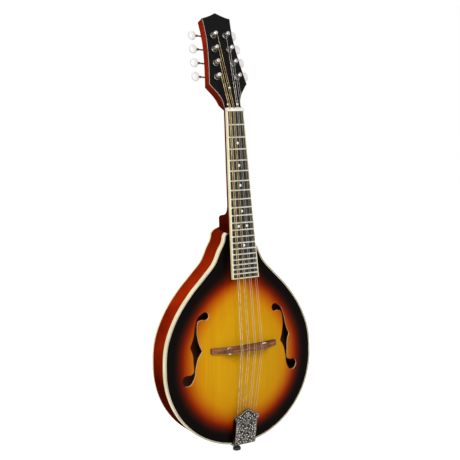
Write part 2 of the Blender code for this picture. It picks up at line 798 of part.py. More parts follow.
def make_blocks(finishes):
    """The neck block and the tail block, shaped to the rim's inner face."""
    half = half_inset(PLATE_INSET)
    near, far = PLATE_EDGE + GAP - RIM_DEPTH, -PLATE_EDGE - GAP
    floor = BODY_TOP - PLATE_INSET - NECK_BLOCK_LENGTH
    upper = [point for point in half if point[1] > floor]
    upper.append((upper[-1][0], floor))
    upper_outline = upper + [(-x, z) for x, z in reversed(upper[1:])]
    neck_block = add_solid("neck_block", [prism(BODY, upper_outline, near, far)], finishes["raw"])
    carve(neck_block, "neck_block_mortise", [tenon(GAP)])
    ceiling = BODY_END + PLATE_INSET + TAIL_BLOCK_LENGTH
    lower = [point for point in half[:-1] if point[1] < ceiling]
    lower.insert(0, (lower[0][0], ceiling))
    lower_outline = lower + [half[-1]] + [(-x, z) for x, z in reversed(lower)]
    return add_solid("tail_block", [prism(BODY, lower_outline, near, far)], finishes["raw"])


def make_tone_bars(finishes):
    """Two bars glued under the soundboard, one on each side of the centre line."""
    for side, name in ((-1, "tone_bar_bass"), (1, "tone_bar_treble")):
        rings = []
        for step in range(9):
            share = step / 8.0
            z = -TONE_BAR_TOP - (TONE_BAR_BOTTOM - TONE_BAR_TOP) * share
            height = TONE_BAR_HEIGHT * (0.35 + 0.65 * math.sin(math.pi * share))
            edges = [side * TONE_BAR_X + edge for edge in (-TONE_BAR_HALF, TONE_BAR_HALF)]
            under = min(top_height(edge, z) for edge in edges) - PLATE_EDGE - 3.0 * GAP
            corners = [(edges[0], under), (edges[1], under),
                       (edges[1], under - height), (edges[0], under - height)]
            rings.append([BODY.point(x, z, out) for x, out in corners])
        add_solid(name, [skin(rings)], finishes["raw"])


def tail_bores():
    """Round cutters for the end pin and the tailpiece screws, running up from the end."""
    start, end = BODY_END - 4.0 * MM, BODY_END + PLATE_INSET + TAIL_BLOCK_LENGTH + OVERCUT
    shells = [rod(BODY.point(0.0, start, -PIN_Y), BODY.point(0.0, end, -PIN_Y),
                  PIN_NECK_RADIUS + GAP, 12)]
    for x, y in tail_screws():
        shells.append(rod(BODY.point(x, start, -y), BODY.point(x, end, -y),
                          TAIL_SCREW_SHANK + GAP, 8))
    return shells


def tail_screws():
    """Where the tailpiece screws stand: x, and depth behind the rim plane."""
    return ((-TAIL_SCREW_X, TAIL_SCREW_Y), (TAIL_SCREW_X, TAIL_SCREW_Y))


def neck_section(z, half, front, depth, fullness, steps=10):
    """One level section of neck or heel: flat in front and rounded behind."""
    ring = []
    for step in range(steps + 1):
        angle = math.pi * step / steps
        side = math.cos(angle)
        x = half * math.copysign(abs(side) ** fullness, side)
        y = front + depth * math.sin(angle) ** fullness
        ring.append(BODY.point(x, z, -y))
    return ring


def board_under(z):
    """How far the fretboard's underside lies behind the rim plane at a height, with its gap."""
    along = (z + BOARD_THICK * math.sin(NECK_TILT)) / math.cos(NECK_TILT)
    spot = NECK.point(0.0, along, -BOARD_THICK - GAP) - BODY.origin
    return spot.y


def heel_rings():
    """Sections from inside the body's outline, up the heel and into the shaft."""
    top = BODY_TOP + HEEL_BLOCK
    rings = [neck_section(z, HEEL_WIDTH / 2.0, board_under(z), HEEL_BACK - board_under(z), 0.8)
             for z in (BODY_TOP - HEEL_REACH, BODY_TOP, top)]
    for share, fill in ((0.1, 0.93), (0.19, 0.7), (0.3, 0.4), (0.5, 0.18), (0.75, 0.06), (1.0, 0.0)):
        z = top + HEEL_SWEEP * share
        shaft = board_under(z) + NECK_DEPTH_HEEL
        back = shaft + (HEEL_BACK - shaft) * fill
        half = board_half(z / math.cos(NECK_TILT))
        half += (HEEL_WIDTH / 2.0 - half) * fill
        rings.append(neck_section(z, half, board_under(z), back - board_under(z),
                                  0.8 + 0.12 * (1.0 - fill)))
    return rings


def shaft_rings(low):
    """Sections of the shaft above the heel, the last one inside the head."""
    nut = NECK.point(0.0, NUT_ALONG + NUT_LENGTH + GAP, -BOARD_THICK).z - BODY.origin.z
    rings = []
    for share in (0.4, 0.8, 1.0):
        z = low + (nut - low) * share
        depth = NECK_DEPTH_HEEL + (NECK_DEPTH_NUT - NECK_DEPTH_HEEL) * share
        half = board_half(min(z / math.cos(NECK_TILT), NUT_ALONG))
        rings.append(neck_section(z, half, board_under(z), depth, 0.92))
    core_face = OVERLAY_THICK + GAP
    step = nut + 0.05 * MM - (HEAD.origin.z - BODY.origin.z) + core_face * math.sin(HEAD.tilt)
    seat = HEAD.point(0.0, step / math.cos(HEAD.tilt), -core_face) - BODY.origin
    back = board_under(nut) + NECK_DEPTH_NUT
    rings.append(neck_section(seat.z, half, seat.y, back - seat.y, 0.92))
    root = HEAD.point(0.0, HEAD_ROOT, -core_face) - BODY.origin
    back = (HEAD.point(0.0, HEAD_ROOT, -HEAD_THICK) - BODY.origin).y
    rings.append(neck_section(root.z, half, root.y, back - root.y - 0.5 * MM, 0.92))
    return rings


def head_core():
    """The head's maple core, whose lower end slopes down to the back of the shaft."""
    rings = []
    for start, out in ((0.5 * MM, -OVERLAY_THICK - GAP), (HEAD_ROOT, -HEAD_THICK)):
        rings.append([HEAD.point(x, along, out) for x, along in head_outline(start)])
    return skin(rings)


def make_neck(finishes):
    """Shaft, heel, tenon and head core in one piece, with its channel for the truss rod."""
    heel = heel_rings()
    low = heel[-1][0].z - BODY.origin.z
    neck = add_solid("neck", [skin(heel + shaft_rings(low))], finishes["maple"],
                     smooth=math.radians(35.0))
    carve(neck, "body_outline", [prism(BODY, outline(-GAP), -2.0 * HEEL_BACK, HEEL_BACK)])
    carve(neck, "head_core", [head_core()], "UNION")
    carve(neck, "heel_tenon", [tenon(0.0)], "UNION")
    bore = ROD_RADIUS + GAP
    carve(neck, "rod_channel", [
        box(NECK, (-bore, bore), (ROD_START - GAP, NUT_ALONG - OVERCUT),
            (ROD_OUT - bore, -BOARD_THICK + OVERCUT)),
    ])
    carve(neck, "rod_bore", [rod(NECK.point(0.0, ROD_START, ROD_OUT),
                                 NECK.point(0.0, ROD_NUT_START, ROD_OUT), bore, 8)])
    carve(neck, "rod_pocket", [pocket(-HEAD_THICK + POCKET_FLOOR)])
    carve(neck, "core_post_bores", post_bores(-HEAD_THICK - OVERCUT, OVERCUT, POST_BORE))


def pocket(low):
    """The space at the head's foot where the truss rod nut is reached."""
    return box(HEAD, (-POCKET_HALF, POCKET_HALF), (NUT_LENGTH + POCKET_START, POCKET_END),
               (low, OVERCUT))


def make_truss_rod(finishes):
    """The rod in the neck, its nut, the cover over the nut and the cover's screws."""
    start = NECK.point(0.0, ROD_START, ROD_OUT)
    foot = NECK.point(0.0, ROD_NUT_START, ROD_OUT)
    add_solid("truss_rod", [rod(start, foot - NECK.along * GAP, ROD_RADIUS, 8)],
              finishes["steel"])
    nut = add_solid(
        "truss_rod_nut",
        [rod(foot, foot + NECK.along * ROD_NUT_LENGTH, ROD_NUT_RADIUS, 12)],
        finishes["steel"], origin=foot, smooth=math.radians(40.0),
    )
    mouth = foot + NECK.along * (ROD_NUT_LENGTH + OVERCUT)
    carve(nut, "nut_socket", [rod(foot + NECK.along * (0.4 * ROD_NUT_LENGTH), mouth,
                                  ROD_NUT_SOCKET, 6)])
    cover = add_solid("truss_rod_cover", [prism(HEAD, cover_outline(), GAP, GAP + COVER_THICK)],
                      finishes["black"])
    bores = [rod(HEAD.point(x, along, -OVERLAY_THICK - OVERCUT),
                 HEAD.point(x, along, COVER_THICK + OVERCUT), COVER_SCREW_SHANK + GAP, 6)
             for x, along in cover_screws()]
    carve(cover, "cover_bores", bores)
    face = GAP + COVER_THICK + GAP
    for number, (x, along) in enumerate(cover_screws(), start=1):
        screw = turned(HEAD.point(x, along, 0.0), HEAD.out, Vector((1.0, 0.0, 0.0)), [
            (-OVERLAY_THICK + GAP, COVER_SCREW_SHANK), (face, COVER_SCREW_SHANK),
            (face, COVER_SCREW_RADIUS), (face + 0.5 * MM, 0.9 * COVER_SCREW_RADIUS),
            (face + 0.9 * MM, 0.5 * COVER_SCREW_RADIUS),
        ], 8)
        add_solid(f"truss_rod_cover_screw_{number}", [screw], finishes["nickel"])
    return bores


def make_head(finishes, screw_bores):
    """The head's black face, with the flanges of the post bushings pressed into it."""
    shape = head_outline(NUT_LENGTH + OVERLAY_START)
    overlay = add_solid("head_overlay", [prism(HEAD, shape, -OVERLAY_THICK, 0.0)],
                        finishes["black"])
    flanges = []
    for tuner in TUNERS:
        flanges.append(turned(tuner.centre, HEAD.out, tuner.outward, [
            (-0.5 * OVERLAY_THICK, 0.86 * BUSHING_FLANGE), (0.4 * BUSHING_FLANGE_THICK, BUSHING_FLANGE),
            (BUSHING_FLANGE_THICK, 0.86 * BUSHING_FLANGE),
        ], 12))
    carve(overlay, "bushing_flanges", flanges, "UNION")
    carve(overlay, "overlay_posts", post_bores(-HEAD_THICK, HEAD_THICK, POST_BORE))
    carve(overlay, "overlay_pocket", [pocket(-OVERLAY_THICK - OVERCUT)])
    carve(overlay, "overlay_screws", screw_bores)


def make_fretboard(finishes):
    """Fretboard, its binding, frets, markers, the support under its end and the nut."""
    high, low = NUT_ALONG - GAP, NUT_ALONG - BOARD_LENGTH
    inner_low = low + BOARD_BINDING + GAP
    shape = [
        (board_half(high) - BOARD_BINDING - GAP, high),
        (board_half(inner_low) - BOARD_BINDING - GAP, inner_low),
    ]
    shape = shape + [(-x, along) for x, along in reversed(shape)]
    board = add_solid("fretboard", [prism(NECK, shape, -BOARD_THICK, 0.0)], finishes["rosewood"])
    edge = [(board_half(high), high), (board_half(low), low)]
    inner_edge = [(x - BOARD_BINDING, along) for x, along in edge]
    inner_edge[1] = (inner_edge[1][0], low + BOARD_BINDING)
    loop = edge + [(-x, along) for x, along in reversed(edge)]
    loop += [(-x, along) for x, along in inner_edge] + list(reversed(inner_edge))
    add_solid("fretboard_binding", [prism(NECK, loop, -BOARD_THICK, 0.0)], finishes["cream"])
    frets = []
    for number in range(1, FRET_COUNT + 1):
        along = NUT_ALONG - fret_from_nut(number)
        half = board_half(along) - BOARD_BINDING - 2.0 * GAP
        frets.append(fret_wire(along, half))
    carve(board, "frets", frets, "UNION")
    make_support(finishes)
    make_nut(finishes)


def fret_wire(along, half):
    """One fret: a low crown that stands on the board and reaches into it."""
    wide = 0.5 * FRET_CROWN_WIDTH
    crown = [
        (wide, 0.15 * FRET_CROWN_HEIGHT), (0.5 * wide, 0.85 * FRET_CROWN_HEIGHT),
        (0.0, FRET_CROWN_HEIGHT), (-0.5 * wide, 0.85 * FRET_CROWN_HEIGHT),
        (-wide, 0.15 * FRET_CROWN_HEIGHT),
    ]
    root = [(-wide, -FRET_SEAT_DEPTH), (wide, -FRET_SEAT_DEPTH)]
    rings = [[NECK.point(x, along + a, out) for a, out in crown + root] for x in (-half, half)]
    return skin(rings)


def make_support(finishes):
    """The wedge that carries the fretboard's end over the soundboard."""
    side = 1.0 - ((board_half(0.0) - SUPPORT_INSET) / CROWN_HALF) ** 2
    start = BODY_TOP - CROWN_RISE * (1.0 - math.sqrt(side)) - GAP
    board_end = (NUT_ALONG - BOARD_LENGTH) * math.cos(NECK_TILT)
    end = board_end + SUPPORT_SHORT_OF_END
    rings = []
    for step in range(5):
        z = start + (end - start) * step / 4.0
        along = z / math.cos(NECK_TILT)
        half = board_half(along) - SUPPORT_INSET
        front = -board_under(z)
        under = top_height(0.0, z) + GAP
        back = max(under, front - (NECK_DEPTH_HEEL - SUPPORT_IN_HEEL))
        back = max(back, front - SUPPORT_END_THICK) if step == 4 else back
        rings.append([
            BODY.point(-half, z, front), BODY.point(half, z, front),
            BODY.point(half, z, back), BODY.point(-half, z, back),
        ])
    add_solid("fretboard_support", [skin(rings)], finishes["black"])


def make_nut(finishes):
    """The nut with its eight string slots."""
    half = board_half(NUT_ALONG)
    low = -BOARD_THICK
    profile = [
        (NUT_ALONG, low), (NUT_ALONG + NUT_LENGTH, low),
        (NUT_ALONG + NUT_LENGTH, NUT_RISE - 1.6 * MM), (NUT_ALONG + 0.5 * NUT_LENGTH, NUT_RISE),
        (NUT_ALONG, NUT_RISE),
    ]
    rings = [[NECK.point(x, along, out) for along, out in profile] for x in (-half, half)]
    nut = add_solid("nut", [skin(rings)], finishes["pale"])
    slots = []
    for index in range(8):
        x = course_place(index, NUT_COURSES, NUT_PAIR_HALF)
        reach = 0.5 * STRING_DIAMETERS[index // 2] + GAP
        slots.append(box(NECK, (x - reach, x + reach),
                         (NUT_ALONG - OVERCUT, NUT_ALONG + NUT_LENGTH + OVERCUT),
                         (STRING_OVER_NUT - GAP - NUT_SLOT_DEPTH * 0.5, NUT_RISE + OVERCUT)))
    carve(nut, "nut_slots", slots)


def make_tuners(finishes):
    """Plates, posts with gears, and knobs with worm shafts."""
    for side in (-1, 1):
        make_plate(finishes, side)
    for tuner in TUNERS:
        make_post(finishes, tuner)
        make_knob(finishes, tuner)


def make_plate(finishes, side):
    """One bank's plate, with two ears for each worm shaft."""
    first = Tuner(side, 0)
    length = TUNER_SPACING * (TUNERS_PER_SIDE - 1)

    def block(across, up, out):
        corners = [(across[0], up[0]), (across[1], up[0]), (across[1], up[1]), (across[0], up[1])]
        return skin([[first.at(a, b, level) for a, b in corners] for level in out])

    plate = add_solid(
        f"tuner_plate_{first.bank}",
        [block((-PLATE_HALF, PLATE_HALF), (-PLATE_OVERHANG, length + PLATE_OVERHANG),
               (PLATE_FACE, PLATE_FACE + PLATE_THICK))],
        finishes["nickel"],
    )
    ears, holes = [], []
    ear_end = WORM_OUT - SHAFT_RADIUS - 1.2 * MM
    for number in range(TUNERS_PER_SIDE):
        up = number * TUNER_SPACING + WORM_UP
        for near in (-EAR_NEAR - EAR_THICK, EAR_NEAR):
            ears.append(block((near, near + EAR_THICK), (up - EAR_HALF, up + EAR_HALF),
                              (ear_end, PLATE_FACE + 0.5 * PLATE_THICK)))
        reach = EAR_NEAR + EAR_THICK + OVERCUT
        holes.append(rod(first.at(-reach, up, WORM_OUT), first.at(reach, up, WORM_OUT),
                         SHAFT_RADIUS + RUNNING_GAP, 8))
        post = number * TUNER_SPACING
        holes.append(rod(first.at(0.0, post, PLATE_FACE - OVERCUT),
                         first.at(0.0, post, PLATE_FACE + PLATE_THICK + OVERCUT),
                         POST_RADIUS + RUNNING_GAP, 10))
    carve(plate, f"plate_ears_{first.bank}", ears, "UNION")
    carve(plate, f"plate_holes_{first.bank}", holes)


def make_post(finishes, tuner):
    """A string post and, behind the plate, the gear that turns it."""
    post = turned(tuner.centre, HEAD.out, tuner.outward, [
        (GEAR_FACE - 0.5 * GEAR_THICK, POST_RADIUS), (POST_WAIST_LOW, POST_RADIUS),
        (POST_WAIST_LOW + POST_SHOULDER, POST_WAIST), (POST_WAIST_HIGH, POST_WAIST),
        (POST_WAIST_HIGH + POST_SHOULDER, POST_RADIUS), (POST_HEIGHT, POST_RADIUS),
    ], 10)
    rim = []
    for step in range(2 * GEAR_TEETH):
        angle = math.pi * step / GEAR_TEETH
        radius = GEAR_RADIUS if step % 2 == 0 else GEAR_ROOT
        rim.append((radius * math.cos(angle), radius * math.sin(angle)))
    gear = skin([[tuner.at(across, up, out) for across, up in rim]
                 for out in (GEAR_FACE - GEAR_THICK, GEAR_FACE)])
    body = add_solid(f"tuner_post_{tuner.label}", [gear], finishes["nickel"],
                     origin=tuner.centre)
    carve(body, f"post_{tuner.label}", [post], "UNION")


def make_knob(finishes, tuner):
    """A worm shaft with the knob that a player turns."""
    start = tuner.at(0.0, WORM_UP, WORM_OUT)
    inner = KNOB_FROM_POST - 0.5 * KNOB_LENGTH
    wide, thick = 0.5 * KNOB_WIDTH, 0.5 * KNOB_THICK
    profile = [
        (-EAR_NEAR - EAR_THICK - 1.0 * MM, SHAFT_RADIUS), (-WORM_HALF, SHAFT_RADIUS),
        (-WORM_HALF, WORM_RADIUS), (WORM_HALF, WORM_RADIUS), (WORM_HALF, SHAFT_RADIUS),
        (inner - 2.0 * MM, SHAFT_RADIUS), (inner - 2.0 * MM, 1.6 * SHAFT_RADIUS),
        (inner, 1.6 * SHAFT_RADIUS),
    ]
    for share, size in ((0.03, 0.55), (0.2, 0.86), (0.5, 1.0), (0.8, 0.86), (0.97, 0.5)):
        profile.append((inner + share * KNOB_LENGTH, size * wide, size * thick))
    add_solid(f"tuner_knob_{tuner.label}",
              [turned(start, tuner.outward, tuner.up, profile, 10)],
              finishes["pearl"], origin=start, smooth=math.radians(50.0))


def make_bridge(finishes):
    """Bridge base, threaded studs, thumbwheels and the saddle that they carry."""
    along = Vector((0.0, 0.0, 1.0))
    stations = (1.0, 0.86, 0.7, 0.5, 0.25)
    xs = [-share * BRIDGE_BASE_HALF for share in stations] + [0.0]
    xs += [share * BRIDGE_BASE_HALF for share in reversed(stations)]
    half = 0.5 * BRIDGE_BASE_WIDTH
    rings = []
    for x in xs:
        foot = max(top_height(x, BRIDGE_Z + z) for z in (-half, half)) + 1.5 * GAP
        if abs(x) <= BRIDGE_FLAT_HALF:
            crown = BRIDGE_BASE_OUT
        else:
            share = (abs(x) - BRIDGE_FLAT_HALF) / (BRIDGE_BASE_HALF - BRIDGE_FLAT_HALF)
            end = top_height(BRIDGE_BASE_HALF, BRIDGE_Z) + BRIDGE_FOOT_HEIGHT
            crown = BRIDGE_BASE_OUT + (end - BRIDGE_BASE_OUT) * share
        rings.append([
            BODY.point(x, BRIDGE_Z - half, foot), BODY.point(x, BRIDGE_Z + half, foot),
            BODY.point(x, BRIDGE_Z + 0.8 * half, crown), BODY.point(x, BRIDGE_Z - 0.8 * half, crown),
        ])
    base = add_solid("bridge_base", [skin(rings)], finishes["rosewood"])
    wheel_low = BRIDGE_BASE_OUT + LIFT_DOWN + GAP
    saddle_low = wheel_low + WHEEL_THICK + GAP
    stud_low = BRIDGE_BASE_OUT - STUD_IN_BASE
    stud_high = saddle_low + STUD_IN_SADDLE
    bores, wells = [], []
    for x, name in ((-STUD_X, "bass"), (STUD_X, "treble")):
        low, high = BODY.point(x, BRIDGE_Z, stud_low), BODY.point(x, BRIDGE_Z, stud_high)
        add_solid(f"bridge_stud_{name}", [rod(low, high, STUD_RADIUS, 8)], finishes["steel"])
        bores.append(rod(low - BODY.out * GAP, low + BODY.out * (STUD_IN_BASE + OVERCUT),
                         STUD_RADIUS + GAP, 8))
        wells.append(rod(BODY.point(x, BRIDGE_Z, saddle_low - OVERCUT),
                         high + BODY.out * (LIFT_DOWN + GAP), STUD_RADIUS + GAP, 8))
    carve(base, "stud_bores", bores)
    saddle = make_saddle(finishes, saddle_low)
    carve(saddle, "stud_wells", wells)
    for x, name in ((-STUD_X, "bass"), (STUD_X, "treble")):
        centre = BODY.point(x, BRIDGE_Z, wheel_low)
        shell = washer(centre, BODY.out, along, [
            (0.0, STUD_RADIUS + GAP), (0.0, WHEEL_RADIUS), (WHEEL_THICK, WHEEL_RADIUS),
            (WHEEL_THICK, STUD_RADIUS + GAP),
        ], WHEEL_FLAT_COUNT)
        add_solid(f"thumbwheel_{name}", [shell], finishes["nickel"], origin=centre,
                  smooth=math.radians(20.0))


def make_saddle(finishes, low):
    """The upper bridge bar, with its crown just under the strings."""
    high = STRING_OUT - 0.5 * STRING_DIAMETERS[0] - GAP
    end = low + SADDLE_END_HEIGHT
    rings = []
    for x, crown in (
        (-SADDLE_HALF, end), (-SADDLE_HALF + 6.0 * MM, end + 1.0 * MM),
        (-SADDLE_CROWN_HALF, high), (0.0, high), (SADDLE_CROWN_HALF, high),
        (SADDLE_HALF - 6.0 * MM, end + 1.0 * MM), (SADDLE_HALF, end),
    ):
        foot, top = 0.5 * SADDLE_FOOT_WIDTH, 0.5 * SADDLE_TOP_WIDTH
        rings.append([
            BODY.point(x, BRIDGE_Z - foot, low), BODY.point(x, BRIDGE_Z + foot, low),
            BODY.point(x, BRIDGE_Z + top, crown), BODY.point(x, BRIDGE_Z - top, crown),
        ])
    return add_solid("bridge_saddle", [skin(rings)], finishes["rosewood"],
                     origin=BODY.point(0.0, BRIDGE_Z, low))


def make_tailpiece(finishes):
    """Base plate with hooks, its cover, screws and the end pin."""
    top, under = -TAIL_PLATE_UNDER, -TAIL_PLATE_UNDER - TAIL_PLATE_THICK
    face = BODY_END - GAP
    corner = (face - TAIL_PLATE_THICK - HOOK_Z) / math.cos(TAIL.tilt)
    inside = (face - HOOK_Z) / math.cos(TAIL.tilt)
    profile = [
        TAIL.point(0.0, TAIL_PLATE_FRONT, under), TAIL.point(0.0, TAIL_PLATE_FRONT, top),
        TAIL.point(0.0, corner, top),
        BODY.point(0.0, face - TAIL_PLATE_THICK, -TAIL_LEG_BACK),
        BODY.point(0.0, face, -TAIL_LEG_BACK),
        TAIL.point(0.0, inside, under),
    ]
    profile[2] = Vector((0.0, profile[2].y, profile[3].z))
    profile[5] = Vector((0.0, profile[5].y, profile[4].z))
    rings = [[point + Vector((x, 0.0, 0.0)) for point in profile]
             for x in (-TAIL_PLATE_HALF, TAIL_PLATE_HALF)]
    base = add_solid("tailpiece_base", [skin(rings)], finishes["nickel"])
    hooks = []
    for index in range(8):
        x = course_place(index, HOOK_COURSES, HOOK_PAIR_HALF)
        hooks.append(box(TAIL, (x - HOOK_HALF, x + HOOK_HALF), (-HOOK_HALF, HOOK_HALF),
                         (under + 0.4 * TAIL_PLATE_THICK, HOOK_HEAD)))
    carve(base, "tail_hooks", hooks, "UNION")
    carve(base, "tail_leg_bores", tail_bores())
    make_cover(finishes)
    for (x, y), name in zip(tail_screws(), ("bass", "treble")):
        centre = BODY.point(x, face - TAIL_PLATE_THICK, -y)
        screw = turned(centre, Vector((0.0, 0.0, -1.0)), Vector((1.0, 0.0, 0.0)), [
            (-TAIL_SCREW_LENGTH, 0.4 * TAIL_SCREW_SHANK),
            (-TAIL_SCREW_LENGTH + 4.0 * MM, TAIL_SCREW_SHANK), (GAP, TAIL_SCREW_SHANK),
            (GAP, TAIL_SCREW_RADIUS), (GAP + 1.2 * MM, 0.6 * TAIL_SCREW_RADIUS),
        ], 8)
        add_solid(f"tailpiece_screw_{name}", [screw], finishes["nickel"])
    foot = BODY.point(0.0, face - TAIL_PLATE_THICK - GAP, -PIN_Y)
    add_solid("end_pin", [turned(foot, Vector((0.0, 0.0, -1.0)), Vector((1.0, 0.0, 0.0)), [
        (-PIN_SHANK_LENGTH, PIN_NECK_RADIUS - PIN_SHANK_TAPER), (0.0, PIN_NECK_RADIUS - 0.1 * MM),
        (0.0, 0.95 * PIN_HEAD_RADIUS), (0.18 * PIN_LENGTH, 0.9 * PIN_HEAD_RADIUS),
        (0.4 * PIN_LENGTH, PIN_NECK_RADIUS), (0.62 * PIN_LENGTH, 0.85 * PIN_HEAD_RADIUS),
        (0.8 * PIN_LENGTH, PIN_HEAD_RADIUS), (PIN_LENGTH, PIN_FACE_RADIUS),
    ], 14)], finishes["black"], smooth=math.radians(40.0))


def make_cover(finishes):
    """The tailpiece cover: a pointed face with an ear at each shoulder and two side walls."""
    half, tail = TAIL_COVER_HALF, -TAIL_COVER_TAIL
    side = [
        (half, tail), (half, TAIL_EAR_LOW), (TAIL_EAR_HALF, TAIL_EAR_LOW + 1.5 * MM),
        (TAIL_EAR_HALF, TAIL_EAR_HIGH), (half, TAIL_COVER_SHOULDER),
    ]
    shape = side + [(0.0, TAIL_COVER_APEX)] + [(-x, along) for x, along in reversed(side)]
    origin = TAIL.point(0.0, 0.0, TAIL_COVER_OUT)
    cover = add_solid(
        "tailpiece_cover",
        [prism(TAIL, shape, TAIL_COVER_OUT, TAIL_COVER_OUT + TAIL_COVER_WALL)],
        finishes["nickel"], origin=origin,
    )
    wall_low = -TAIL_PLATE_UNDER - TAIL_PLATE_THICK - 0.8 * MM
    walls = []
    for direction in (-1, 1):
        xs = sorted((direction * (half - TAIL_COVER_WALL), direction * half))
        walls.append(box(TAIL, xs, (tail, TAIL_EAR_LOW),
                         (wall_low, TAIL_COVER_OUT + 0.5 * TAIL_COVER_WALL)))
    carve(cover, "cover_walls", walls, "UNION")


def string_route(index):
    """The points of one string, from its winding on the post to its loop on the hook."""
    course = index // 2
    radius = 0.5 * STRING_DIAMETERS[course]
    side = -1 if course < 2 else 1
    low_pair = course in (0, 3)
    outer = index % 2 == (0 if side < 0 else 1)
    number = (0 if low_pair else 2) + (0 if outer else 1)
    tuner = next(t for t in TUNERS if t.side == side and t.label.endswith(str(number + 1)))
    lift = STRING_OVER_NUT + radius
    nut_x = course_place(index, NUT_COURSES, NUT_PAIR_HALF)
    nut_front = NECK.point(nut_x, NUT_ALONG, lift)
    nut_back = NECK.point(nut_x, NUT_ALONG + NUT_LENGTH + 0.4 * MM, lift - 0.5 * MM)
    wind = POST_WAIST + GAP + radius
    pitch = 2.0 * radius + WIND_SPACE
    entry = POST_WAIST_HIGH - radius - GAP
    flat = nut_back - tuner.centre
    nut_spot = Vector((flat.x, flat.dot(HEAD.along)))
    bearing = math.atan2(nut_spot.y, nut_spot.x)
    turn = -side
    start = bearing + turn * math.acos(wind / nut_spot.length)
    steps = round(WIND_TURNS * WIND_POINT_COUNT)
    points = []
    for step in range(steps, -1, -1):
        angle = start + turn * 2.0 * math.pi * step / WIND_POINT_COUNT
        points.append(
            tuner.centre + Vector((wind * math.cos(angle), 0.0, 0.0))
            + HEAD.along * (wind * math.sin(angle))
            + HEAD.out * (entry - pitch * step / WIND_POINT_COUNT)
        )
    points += [nut_back, nut_front]
    saddle_x = course_place(index, SADDLE_COURSES, SADDLE_PAIR_HALF)
    points.append(BODY.point(saddle_x, BRIDGE_Z, STRING_OUT))
    hook_x = course_place(index, HOOK_COURSES, HOOK_PAIR_HALF)
    loop = HOOK_HALF * math.sqrt(2.0) + GAP + radius
    for step in range(LOOP_POINT_COUNT):
        angle = math.radians(60.0 - 250.0 * step / (LOOP_POINT_COUNT - 1))
        points.append(TAIL.point(hook_x + loop * math.cos(angle), loop * math.sin(angle), 0.0))
    return points


def make_strings(finishes):
    """Eight strings, each one tube from its post to its hook."""
    names = ("g", "d", "a", "e")
    for index in range(8):
        course = index // 2
        curve = bpy.data.curves.new(f"string_{names[course]}_{index % 2 + 1}", "CURVE")
        curve.dimensions = "3D"
        curve.bevel_depth = 0.5 * STRING_DIAMETERS[course]
        curve.bevel_resolution = 1
        curve.use_fill_caps = True
        curve.materials.append(finishes["bronze" if course < 2 else "steel"])
        route = string_route(index)
        spline = curve.splines.new("POLY")
        spline.points.add(len(route) - 1)
        for spot, point in zip(spline.points, route):
            spot.co = (*point, 1.0)
        obj = bpy.data.objects.new(curve.name, curve)
        bpy.context.scene.collection.objects.link(obj)
    print_winding_gap()


def print_winding_gap():
    """Measure and print the least gap between the turns of the string windings."""
    least = None
    for index in range(8):
        diameter = STRING_DIAMETERS[index // 2]
        winding = string_route(index)[: round(WIND_TURNS * WIND_POINT_COUNT) + 1]
        for first, point in enumerate(winding):
            for other in winding[first + WIND_POINT_COUNT // 2:]:
                gap = (point - other).length - diameter
                least = gap if least is None else min(least, gap)
    print(f"least gap between the turns of a string winding: {least / MM:.2f} mm")


def main():
    """Build the whole instrument."""
    for obj in list(bpy.data.objects):
        bpy.data.objects.remove(obj)
    finishes = make_finishes()
    make_body(finishes)
    make_neck(finishes)
    screw_bores = make_truss_rod(finishes)
    make_head(finishes, screw_bores)
    make_fretboard(finishes)
    make_tuners(finishes)
    make_bridge(finishes)
    make_tailpiece(finishes)
    make_strings(finishes)


main()
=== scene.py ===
"""An A-style mandolin with its finishes, its fine shapes, a pale floor and soft studio light.

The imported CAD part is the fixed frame. Each class below makes the visible pieces of
one sub-assembly round it, in metres: +Z runs up the body and the top faces -Y.
"""

from __future__ import annotations

import json
import logging
from contextlib import contextmanager
from dataclasses import dataclass, field
from enum import Enum
from math import acos, atan2, copysign, cos, pi, radians, sin, sqrt
from typing import Iterator, Sequence

import bmesh
import bpy
import numpy as np
from mathutils import Matrix, Vector

